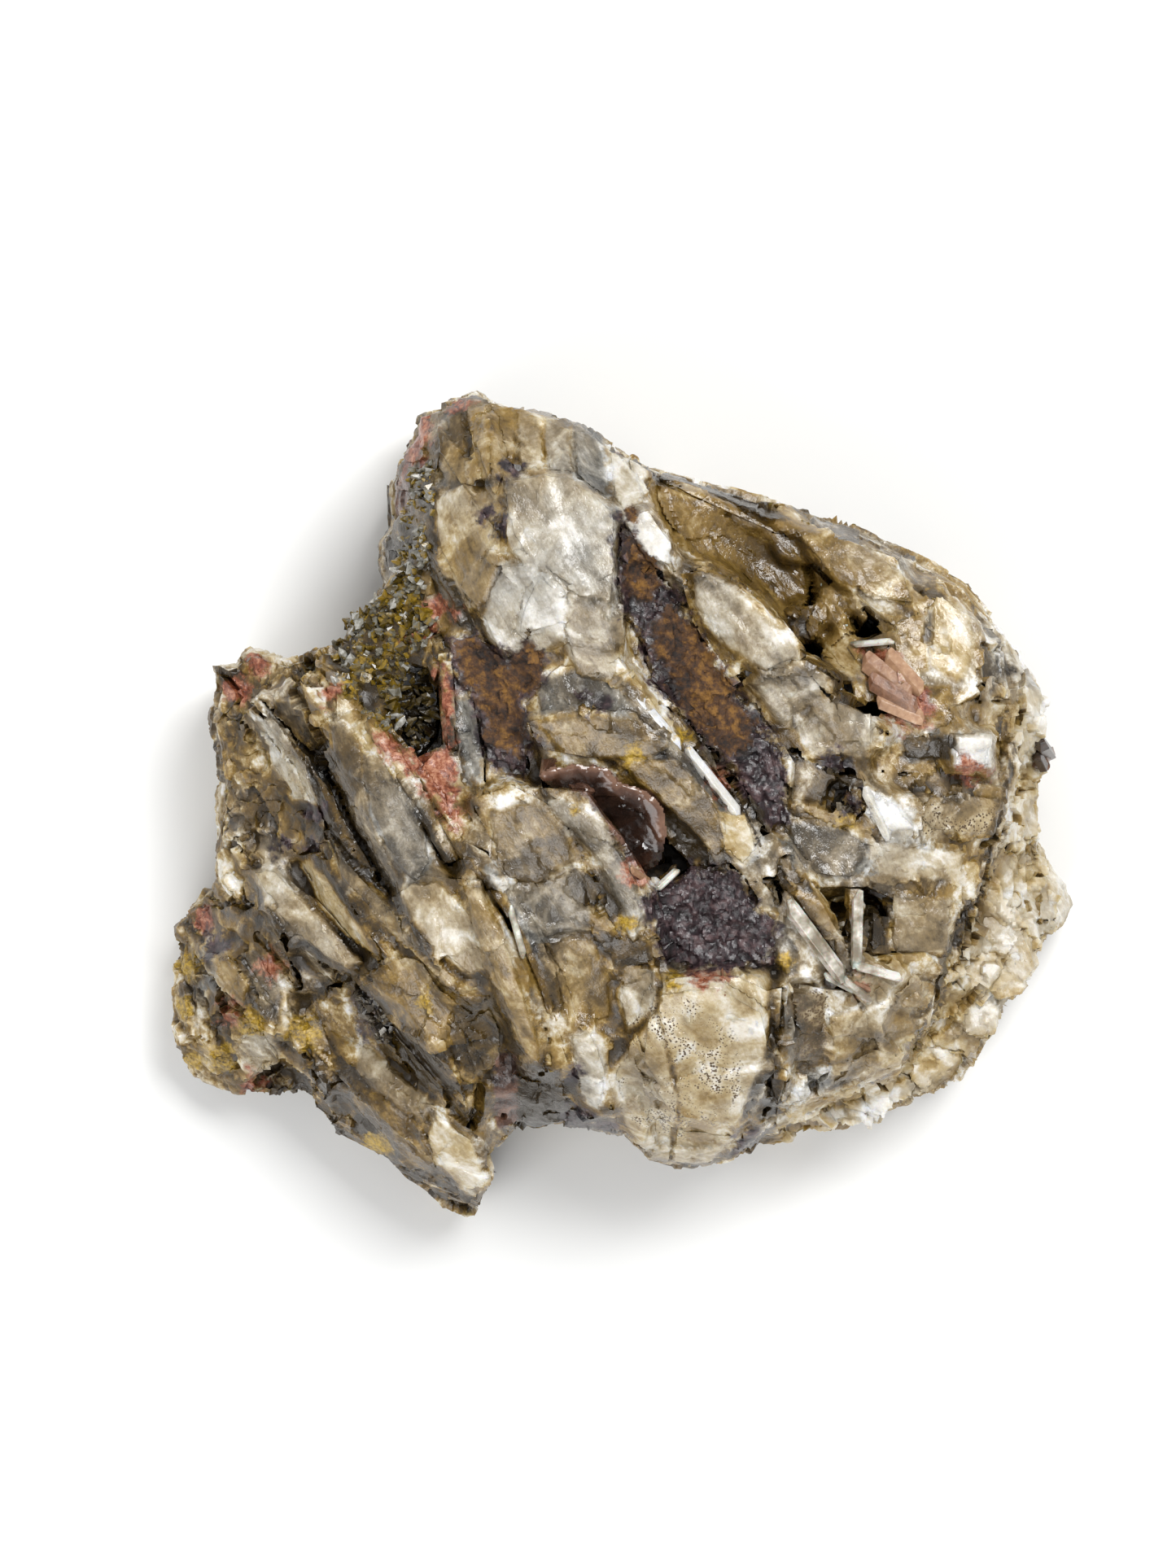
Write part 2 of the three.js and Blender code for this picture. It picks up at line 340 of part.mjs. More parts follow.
// The crust of small crystals that lines the vug.
const VUG_CRUST = { clearance: 0.4, thickness: 0.7, top: 38, crystals: 9, crystalSize: 2.6 };
const HONEY_HOLLOW = {
  mouth: [[80, 60.6], [91, 62.4], [99, 67], [105, 74], [109.4, 81], [108.4, 88.6], [102.4, 87.6],
    [96.6, 81.4], [89.6, 75.6], [83.6, 69.6]],
  top: 60, shoulder: 29, floor: 17, floorShare: 0.55,
};
const DARK_POCKET = {
  mouth: [[101.6, 96.4], [104.6, 96.2], [105.4, 98.6], [103.6, 100], [101.2, 99]],
  top: 48, shoulder: 44, floor: 41.4, floorShare: 0.5,
};

// ---- Small repeats, placed by a seeded run of numbers ----
const SEED = 20117;
const FLANK_NOTCHES = 12;
const DRUSE_BUMPS = 4;

// Knobs on the outer crust: plan points, and how wide each is.
const CRUST_KNOBS = [[125.6, 88, 6], [126, 95.6, 5], [126.6, 106, 7], [128.4, 112, 6], [124.6, 118.4, 7.4],
  [120.6, 125.4, 6.6], [114.6, 131.6, 7.6], [106.6, 135.6, 6.4], [99.6, 137.6, 6], [121, 133, 4.6]];

// The specimen's outline on the plan.
const OUTLINE = [[51, 50.2], [58.4, 47.6], [61.2, 48.8], [66.2, 50], [72.4, 52.2], [80, 57],
  [90.6, 60], [100.6, 62.4], [105.4, 64.2], [115, 68.8], [119.2, 71.6], [128, 82.4], [129.6, 85.4],
  [128.8, 89.4], [129.8, 93.8], [128.6, 96.4], [128.4, 101.4], [130, 107], [132.5, 111.5], [125, 125],
  [118.8, 133.6], [108, 139.4], [103.6, 140.8], [100.4, 139.6], [97.4, 141], [92, 142.2], [89, 143.6],
  [85, 144.1], [80, 143], [76.6, 140], [70, 138.4], [65.4, 139.2], [63.2, 138.6], [61.6, 140.8],
  [60, 142], [60.7, 144.6], [60.2, 147.6], [57.2, 150.6], [54.4, 149.6], [51, 147], [47.4, 143.4],
  [37, 137.4], [34.4, 135.4], [31, 135.7], [22.4, 133.4], [20.8, 130], [20.4, 124], [20.6, 118],
  [20.4, 114.2], [23.6, 111], [25.2, 108], [26, 96], [25.1, 88], [26, 85], [25.4, 81.6], [28.4, 81],
  [30.4, 79.4], [35, 80.8], [39.4, 79.4], [41.6, 79.4], [42, 76.6], [44, 75], [46.4, 73.8], [46.9, 72],
  [46, 69], [46.4, 66], [47.4, 64], [47.5, 59], [50.4, 53]];

// ---- Solids ----

// A closed solid with merged vertices, ready for joining and cutting.
function solidOf(geometry) {
  const bare = geometry.clone();
  bare.deleteAttribute("normal");
  bare.deleteAttribute("uv");
  const merged = mergeVertices(bare, 1e-4);
  return new WASM.Manifold(new WASM.Mesh({
    numProp: 3,
    vertProperties: new Float32Array(merged.attributes.position.array),
    triVerts: new Uint32Array(merged.index.array),
  }));
}

// The convex solid around a set of plan points. The plan's v axis runs against +Y.
function hull(points) {
  return solidOf(new ConvexGeometry(points.map(([u, v, h]) => new THREE.Vector3(u, -v, h))));
}

function middleOf(outline) {
  const sum = outline.reduce(([a, b], [u, v]) => [a + u, b + v], [0, 0]);
  return [sum[0] / outline.length, sum[1] / outline.length];
}

// The outline moved out from its middle by a distance, or in if the distance is negative.
function spread(outline, distance) {
  const [cu, cv] = middleOf(outline);
  return outline.map(([u, v]) => {
    const reach = Math.hypot(u - cu, v - cv) || 1;
    const share = Math.max(0.05, 1 + distance / reach);
    return [cu + (u - cu) * share, cv + (v - cv) * share];
  });
}

// A body mass: inset above and below, and widest at its waist.
function mass({ waist, top, inset }) {
  const above = spread(waist, -inset - BODY_INSET).map(([u, v]) => [u, v, top]);
  const middle = spread(waist, -BODY_INSET).map(([u, v], i) => [u, v, WAIST_HEIGHT + 2.2 * Math.sin(i * 2.3)]);
  const below = spread(waist, -FOOT_INSET - BODY_INSET).map(([u, v]) => [u, v, 0]);
  return hull([...above, ...middle, ...below]);
}

// The corners moved up or down onto the plane that fits them best, by least squares.
function flattened(corners) {
  const [cu, cv] = middleOf(corners);
  const mean = corners.reduce((sum, [, , h]) => sum + h, 0) / corners.length;
  let [uu, uv, vv, uh, vh] = [0, 0, 0, 0, 0];
  for (const [u, v, h] of corners) {
    uu += (u - cu) ** 2;
    uv += (u - cu) * (v - cv);
    vv += (v - cv) ** 2;
    uh += (u - cu) * (h - mean);
    vh += (v - cv) * (h - mean);
  }
  const scale = uu * vv - uv * uv;
  const [su, sv] = [(uh * vv - vh * uv) / scale, (vh * uu - uh * uv) / scale];
  const flat = corners.map(([u, v]) => [u, v, mean + su * (u - cu) + sv * (v - cv)]);
  const worst = Math.max(...flat.map(([, , h], i) => Math.abs(h - corners[i][2])));
  return worst < FLAT_WITHIN ? flat : corners;
}

// A crystal known by the corners of its upper face, with walls that lean out as they go down.
function crystal(corners) {
  const lowest = Math.min(...corners.map(([, , h]) => h));
  const flare = Math.min(MOST_FLARE, lowest * WALL_FLARE);
  const root = Math.min(WAIST_HEIGHT, lowest * 0.5);
  const walls = spread(corners, flare).map(([u, v]) => [u, v, root]);
  return hull([...flattened(corners), ...walls]);
}

// The rough outer skin that everything is broken off at: the outline drawn up through its rings,
// with every corner moved in a little and up or down.
function skin(random) {
  const steps = SKIN_RINGS.length - 1;
  const shape = new THREE.Shape(OUTLINE.map(([u, v]) => new THREE.Vector2(u, -v)));
  const geometry = new THREE.ExtrudeGeometry(shape, { depth: steps, steps, bevelEnabled: false });
  const rings = SKIN_RINGS.map(({ height, inset, rough }) => OUTLINE.map((_, i) => {
    const { point, inward } = cornerOf(i);
    const depth = inset + rough * random();
    const rise = height > 0 && height < 50 ? 2.4 * (random() - 0.5) : 0;
    return [point[0] + inward[0] * depth, -(point[1] + inward[1] * depth), height + rise];
  }));
  const corners = geometry.attributes.position;
  for (let i = 0; i < corners.count; i += 1) {
    const [x, y] = [corners.getX(i), corners.getY(i)];
    const place = OUTLINE.findIndex(([u, v]) => Math.hypot(u - x, v + y) < 1e-3);
    corners.setXYZ(i, ...rings[Math.round(corners.getZ(i))][place]);
  }
  return solidOf(geometry);
}

// A curved plate, made of one piece for each stretch between two stations.
function plate({ drop, roll, crest }) {
  const sections = crest.map(([u, v, h, low, high], i) => {
    const before = crest[Math.max(0, i - 1)];
    const after = crest[Math.min(crest.length - 1, i + 1)];
    const [du, dv] = [after[0] - before[0], after[1] - before[1]];
    const length = Math.hypot(du, dv);
    const at = (across, below) => [u - (dv / length) * across, v + (du / length) * across, h - below];
    return [at(-high - 0.8, PLATE_DEPTH), at(-high - 0.4, 3.5), at(-high, 0.8), at(0, 0), at(low, 0.22 * drop),
      at(low + roll, drop), at(low + roll, PLATE_DEPTH)];
  });
  return addAll(sections.slice(1).map((section, i) => hull([...sections[i], ...section])));
}

// A six-sided prism with chisel ends, lying from one point to another.
function prism({ from, to, width, thickness }) {
  const start = new THREE.Vector3(...from);
  const axis = new THREE.Vector3(...to).sub(start);
  const across = new THREE.Vector3(-axis.y, axis.x, 0).normalize();
  const up = new THREE.Vector3().crossVectors(axis, across).normalize();
  const ring = (at, share) => [[1, 0], [0.55, 1], [-0.55, 1], [-1, 0], [-0.55, -1], [0.55, -1]].map(
    ([a, b]) => start.clone().addScaledVector(axis, at)
      .addScaledVector(across, (a * share * width) / 2)
      .addScaledVector(up, (b * share * thickness) / 2));
  const corners = [...ring(0, 0.9), ...ring(1 - 0.5 * (width / axis.length()), 1), ...ring(1, 0.4)];
  return hull(corners.map((p) => p.toArray()));
}

// A pit that narrows from its shoulder to its floor.
function pit({ mouth, top, shoulder, floor, floorShare }, grow = 0) {
  const [cu, cv] = middleOf(mouth);
  const lip = spread(mouth, grow);
  return hull([
    ...lip.map(([u, v]) => [u, v, top]),
    ...lip.map(([u, v]) => [u, v, shoulder]),
    ...lip.map(([u, v]) => [cu + (u - cu) * floorShare, cv + (v - cv) * floorShare, floor - grow]),
  ]);
}

// Numbers from 0 to 1 that are the same each time, by the mulberry32 method.
function randomFrom(seed) {
  let state = seed;
  return () => {
    state = (state + 0x6d2b79f5) | 0;
    let t = Math.imul(state ^ (state >>> 15), 1 | state);
    t = (t + Math.imul(t ^ (t >>> 7), 61 | t)) ^ t;
    return ((t ^ (t >>> 14)) >>> 0) / 4294967296;
  };
}

// A rough lump of small crystals: a box with its corners knocked about and turned.
function lump(centre, size, random, fabric = 0, tilt = 0.5) {
  const lean = () => (random() - 0.5) * 2 * tilt;
  const turn = new THREE.Euler(lean(), lean(), fabric + (random() - 0.5) * 0.5);
  const corners = [];
  for (const x of [-1, 1]) for (const y of [-1, 1]) for (const z of [-1, 1]) {
    const p = new THREE.Vector3(x * size[0], y * size[1], z * size[2]);
    p.multiplyScalar(0.36 + 0.2 * random()).applyEuler(turn);
    corners.push([centre[0] + p.x, centre[1] - p.y, centre[2] + p.z]);
  }
  return hull(corners);
}

function addAll(solids) {
  return solids.reduce((sum, solid) => sum.add(solid));
}

// The highest point of the solid over each plan point, found from its upward triangles.
function heightFinder(solid) {
  const { vertProperties, triVerts, numProp } = solid.getMesh();
  const at = (i) => [0, 1, 2].map((k) => vertProperties[i * numProp + k]);
  const triangles = [];
  for (let t = 0; t < triVerts.length; t += 3) {
    const [a, b, c] = [at(triVerts[t]), at(triVerts[t + 1]), at(triVerts[t + 2])];
    const area = (b[0] - a[0]) * (c[1] - a[1]) - (b[1] - a[1]) * (c[0] - a[0]);
    if (area > 1e-6) triangles.push([a, b, c, area]);
  }
  return (u, v) => {
    let height = 0;
    for (const [a, b, c, area] of triangles) {
      const wa = ((b[0] - u) * (c[1] + v) - (b[1] + v) * (c[0] - u)) / area;
      const wb = ((c[0] - u) * (a[1] + v) - (c[1] + v) * (a[0] - u)) / area;
      const wc = 1 - wa - wb;
      if (wa >= 0 && wb >= 0 && wc >= 0) height = Math.max(height, wa * a[2] + wb * b[2] + wc * c[2]);
    }
    return height;
  };
}

// A corner of the outline, and the way in from it.
function cornerOf(i) {
  const [before, point, after] = [-1, 0, 1].map((k) => OUTLINE[(i + k + OUTLINE.length) % OUTLINE.length]);
  const [du, dv] = [after[0] - before[0], after[1] - before[1]];
  const length = Math.hypot(du, dv);
  return { point, inward: [-dv / length, du / length] };
}

// A point along the outline, and the way in from it.
function alongOutline(share) {
  const place = share * OUTLINE.length;
  const i = Math.floor(place) % OUTLINE.length;
  const [a, b] = [OUTLINE[i], OUTLINE[(i + 1) % OUTLINE.length]];
  const t = place - Math.floor(place);
  const length = Math.hypot(b[0] - a[0], b[1] - a[1]);
  return {
    point: [a[0] + (b[0] - a[0]) * t, a[1] + (b[1] - a[1]) * t],
    inward: [-(b[1] - a[1]) / length, (b[0] - a[0]) / length],
  };
}

// Hollows broken out of the flanks, above the widest line of the outline.
function flankNotches(random) {
  return Array.from({ length: FLANK_NOTCHES }, (_, i) => {
    const { point, inward } = alongOutline((i + 0.6 * random()) / FLANK_NOTCHES);
    const size = [6 + 9 * random(), 6 + 6 * random(), 5 + 7 * random()];
    const depth = 1.4 - 0.3 * Math.max(size[0], size[1]);
    const height = WAIST_HEIGHT + 5 + 14 * random();
    return lump([point[0] + inward[0] * depth, point[1] + inward[1] * depth, height], size, random, i);
  });
}

// Small chips along the fabric of the blades, half sunk in the surface.
function chips(random, heightAt, { count, left, right, top, bottom, size, fabric, tilt = 0.2 }) {
  const made = [];
  while (made.length < count) {
    const [u, v] = [left + (right - left) * random(), top + (bottom - top) * random()];
    const h = heightAt(u, v);
    const scale = 0.7 + 0.6 * random();
    if (h > 12) made.push(lump([u, v, h - 0.3 * size[2]], size.map((s) => s * scale), random, fabric, tilt));
  }
  return made;
}

const FABRIC_TURN = -1.05; // the blades' long way on the plan, in radians
const CHIP_FIELDS = [
  { count: 2, left: 27, right: 40, top: 86, bottom: 110, size: [5.4, 3.6, 2.4], fabric: FABRIC_TURN },
  { count: 2, left: 22, right: 36, top: 112, bottom: 134, size: [5.4, 3.6, 2.4], fabric: FABRIC_TURN },
  { count: 2, left: 56, right: 90, top: 90, bottom: 132, size: [5.6, 2.4, 1.8], fabric: FABRIC_TURN },
  { count: 2, left: 96, right: 122, top: 76, bottom: 128, size: [5.4, 3.2, 2.2], fabric: 0.2 },
];

function surfaceChips(random, heightAt) {
  return CHIP_FIELDS.flatMap((field) => chips(random, heightAt, field));
}

function druseBumps(random, heightAt) {
  const cube = [2.6, 2.6, 2.6];
  return chips(random, heightAt, {
    count: DRUSE_BUMPS, left: 41, right: 53, top: 71, bottom: 90, size: cube, fabric: 0, tilt: 0.6,
  });
}

function crustKnobs(random, heightAt) {
  return CRUST_KNOBS.map(([u, v, width]) => (
    lump([u, v, heightAt(u, v)], [width, width * 0.8, width * 0.7], random, u, 0.5)));
}

function buildCluster() {
  const random = randomFrom(SEED);
  const faces = [LEFT_WING, LEFT_BLOCK, CROWN, OXIDE_BANDS, CENTRE, TOOTH, RIDGE_AND_HOLLOW, RIGHT_MASS,
    LOWER_RIGHT, OUTER_CRUST, DRUSE_BED].flatMap((region) => Object.values(region));
  const grown = addAll([
    addAll(Object.values(BODY).map(mass)).subtract(pit(HONEY_HOLLOW)),
    ...faces.map(crystal),
    ...Object.values(PLATES).map(plate),
  ]);
  const heightAt = heightFinder(grown);
  return grown
    .add(addAll(surfaceChips(random, heightAt)))
    .add(addAll(druseBumps(random, heightAt)))
    .add(addAll(crustKnobs(random, heightAt)))
    .intersect(skin(random))
    .subtract(addAll(flankNotches(random)))
    .subtract(pit(VUG))
    .subtract(pit(DARK_POCKET))
    .add(addAll(PRISMS.map(prism)));
}

// The lining of the vug: a thin bowl with small crystals standing in from its wall.
function buildVugCrust() {
  const random = randomFrom(SEED + 1);
  const { clearance, thickness, top, crystals, crystalSize } = VUG_CRUST;
  const room = pit({ ...VUG, top }, -clearance);
  const inside = pit({ ...VUG, top: top + 1 }, -clearance - thickness);
  const [cu, cv] = middleOf(VUG.mouth);
  const points = Array.from({ length: crystals }, (_, i) => {
    const [u, v] = VUG.mouth[i % VUG.mouth.length];
    const share = 0.62 + 0.2 * random();
    const height = VUG.floor + 2 + (top - VUG.floor - 3) * ((i + random()) / crystals);
    const near = VUG.floorShare + (1 - VUG.floorShare) * Math.min(1, (height - VUG.floor) / 6);
    const turn = share * near;
    const size = [crystalSize, crystalSize, crystalSize];
    return lump([cu + (u - cu) * turn, cv + (v - cv) * turn, height], size, random, i, 0.7);
  });
  return room.subtract(inside).add(addAll(points).intersect(room));
}

// The outer skin alone: spaces closed in between the crystals are grown solid, and crumbs dropped.
function grownSolid(solid) {
  return solid.decompose().reduce((best, part) => (part.volume() > best.volume() ? part : best));
}

// ---- The scene graph ----

function meshOf(name, solid, material) {
  const { vertProperties, triVerts, numProp } = solid.getMesh();
  const position = new Float32Array((vertProperties.length / numProp) * 3);
  for (let i = 0; i < position.length / 3; i += 1) {
    position.set(vertProperties.subarray(i * numProp, i * numProp + 3), i * 3);
  }
  const geometry = new THREE.BufferGeometry();
  geometry.setAttribute("position", new THREE.BufferAttribute(position, 3));
  geometry.setIndex(new THREE.BufferAttribute(new Uint32Array(triVerts), 1));
  const mesh = new THREE.Mesh(geometry.toNonIndexed(), material);
  mesh.geometry.computeVertexNormals();
  mesh.name = name;
  return mesh;
}

const CRYSTAL = new THREE.MeshStandardMaterial({ color: 0xb3a78f, roughness: 0.45, metalness: 0 });

const VUG_CRYSTAL = new THREE.MeshStandardMaterial({ color: 0x4a3f22, roughness: 0.25, metalness: 0 });

const specimen = new THREE.Group();
specimen.add(meshOf("crystal_cluster", grownSolid(buildCluster()), CRYSTAL));
specimen.add(meshOf("vug_crust", grownSolid(buildVugCrust()), VUG_CRYSTAL));

// Centre the finished specimen over the origin.
const bounds = new THREE.Box3().setFromObject(specimen);
const centre = bounds.getCenter(new THREE.Vector3());
specimen.position.set(-centre.x, -centre.y, -bounds.min.z);

export default specimen;
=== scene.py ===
"""Looks for a celestite cluster: a palm-sized specimen of intergrown, iron-stained bladed crystals.

Metres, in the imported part's own frame. Plan positions are given in millimetres as (u, v): u runs
right and v runs down the plan, as the part's own source sets its crystals out.
"""

import functools
import math

import bpy
import numpy as np
from mathutils import Matrix, Vector


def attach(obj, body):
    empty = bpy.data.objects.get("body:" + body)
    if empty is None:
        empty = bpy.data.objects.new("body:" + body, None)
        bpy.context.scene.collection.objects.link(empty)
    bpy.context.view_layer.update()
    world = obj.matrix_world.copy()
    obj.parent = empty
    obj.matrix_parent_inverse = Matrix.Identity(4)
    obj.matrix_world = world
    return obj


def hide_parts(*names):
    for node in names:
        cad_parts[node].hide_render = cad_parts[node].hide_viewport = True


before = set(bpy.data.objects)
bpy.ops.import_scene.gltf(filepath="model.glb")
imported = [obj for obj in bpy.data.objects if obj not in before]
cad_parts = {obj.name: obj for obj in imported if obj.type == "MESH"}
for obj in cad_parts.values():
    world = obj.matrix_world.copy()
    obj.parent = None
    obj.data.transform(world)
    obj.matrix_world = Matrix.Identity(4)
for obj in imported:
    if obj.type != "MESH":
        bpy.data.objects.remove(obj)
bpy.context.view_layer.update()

bl_info = {
    "name": "Celestite Cluster",
    "version": (1, 0, 0),
    "blender": (4, 5, 0),
    "location": "3D View > Sidebar > Specimen",
    "description": "Builds the fine crystal surface, druse, rods and studio of a celestite cluster",
    "category": "Add Mesh",
}

BODY = "root"
CLUSTER = "crystal_cluster"
VUG = "vug_crust"
PLAN_CENTRE = (76.401, 99.001)  # mm, the plan point over the origin
MM = 0.001


# ---------------------------------------------------------------- colours and nodes

def linear(code, alpha=1.0):
    """A #RRGGBB colour as linear RGBA."""
    channels = [int(code[i:i + 2], 16) / 255 for i in (1, 3, 5)]
    return [c / 12.92 if c <= 0.04045 else ((c + 0.055) / 1.055) ** 2.4 for c in channels] + [alpha]


def node(tree, kind, settings=None, **inputs):
    """Adds a node. settings are its properties; inputs are values or links.

    A link or value goes to the socket of that name, or to socket number n where it is called in.
    """
    made = tree.nodes.new(kind)
    for key, value in (settings or {}).items():
        setattr(made, key, value)
    for key, value in inputs.items():
        by_place = key[0] == "i" and key[1:].isdigit()
        socket = made.inputs[int(key[1:]) if by_place else key.replace("_", " ")]
        if isinstance(value, bpy.types.NodeSocket):
            tree.links.new(value, socket)
        else:
            socket.default_value = value
    return made


# ---------------------------------------------------------------- what a user would change

class SpecimenSettings(bpy.types.PropertyGroup):
    """How finely the specimen is cut, and the size of its druse"""
    grain: bpy.props.FloatProperty(
        name="Mesh grain", description="Cell of the grid that the crystal surface is cut on", default=0.0003,
        min=0.0002, max=0.003, unit="LENGTH", precision=5)
    triangles: bpy.props.IntProperty(
        name="Triangles", description="Most triangles left in each stretch of the cluster", default=190000,
        min=10000, max=199000)
    relief: bpy.props.FloatProperty(
        name="Facet relief", description="Height of the cleavage steps", default=1.0, min=0, max=3)
    druse_size: bpy.props.FloatProperty(
        name="Druse crystal", description="Width of a druse crystal", default=0.0009,
        min=0.0003, max=0.004, unit="LENGTH", precision=5)


class StudioSettings(bpy.types.PropertyGroup):
    """The floor, the lights and the camera"""
    floor_colour: bpy.props.FloatVectorProperty(
        name="Floor", description="Colour of the studio floor", subtype="COLOR", size=4,
        default=linear("#F4F4F2"), min=0, max=1)
    key_power: bpy.props.FloatProperty(
        name="Key light", description="Power of the large soft light", default=11.5, min=0, unit="POWER")
    camera_height: bpy.props.FloatProperty(
        name="Camera height", description="Height of the camera over the specimen", default=1.0,
        min=0.3, max=5, unit="LENGTH")


# ---------------------------------------------------------------- the plan

def at(u, v, h):
    """A plan point and its height in millimetres, as a point in metres."""
    return Vector(((u - PLAN_CENTRE[0]) * MM, (PLAN_CENTRE[1] - v) * MM, h * MM))


def plan_of(points):
    """The plan coordinates u and v of an array of points in metres."""
    return points[:, 0] / MM + PLAN_CENTRE[0], PLAN_CENTRE[1] - points[:, 1] / MM


# Where the specimen is parted, so that each stretch gets a fine mesh. The seams follow real grooves: one
# along the blades left of the middle, one along the ridge.
SEAM_LEFT = [(20, 62), (43, 72.4), (48, 75), (53.4, 79), (54.6, 86), (54.6, 92), (57.4, 100.6), (58, 106),
             (60.4, 110), (64.4, 118), (67, 126), (67.4, 132), (63.6, 138.6), (62.2, 142), (60.5, 160)]
SEAM_RIGHT = [(77, 35), (77.4, 56), (78.6, 62.5), (83, 68.5), (85, 76), (90, 83.6), (94, 89), (97, 94),
              (96.6, 101), (95.2, 107), (95.6, 113), (95.4, 120), (95, 128), (94.6, 136), (91.5, 143),
              (91, 165)]
SEAM_OVERLAP = 0.6

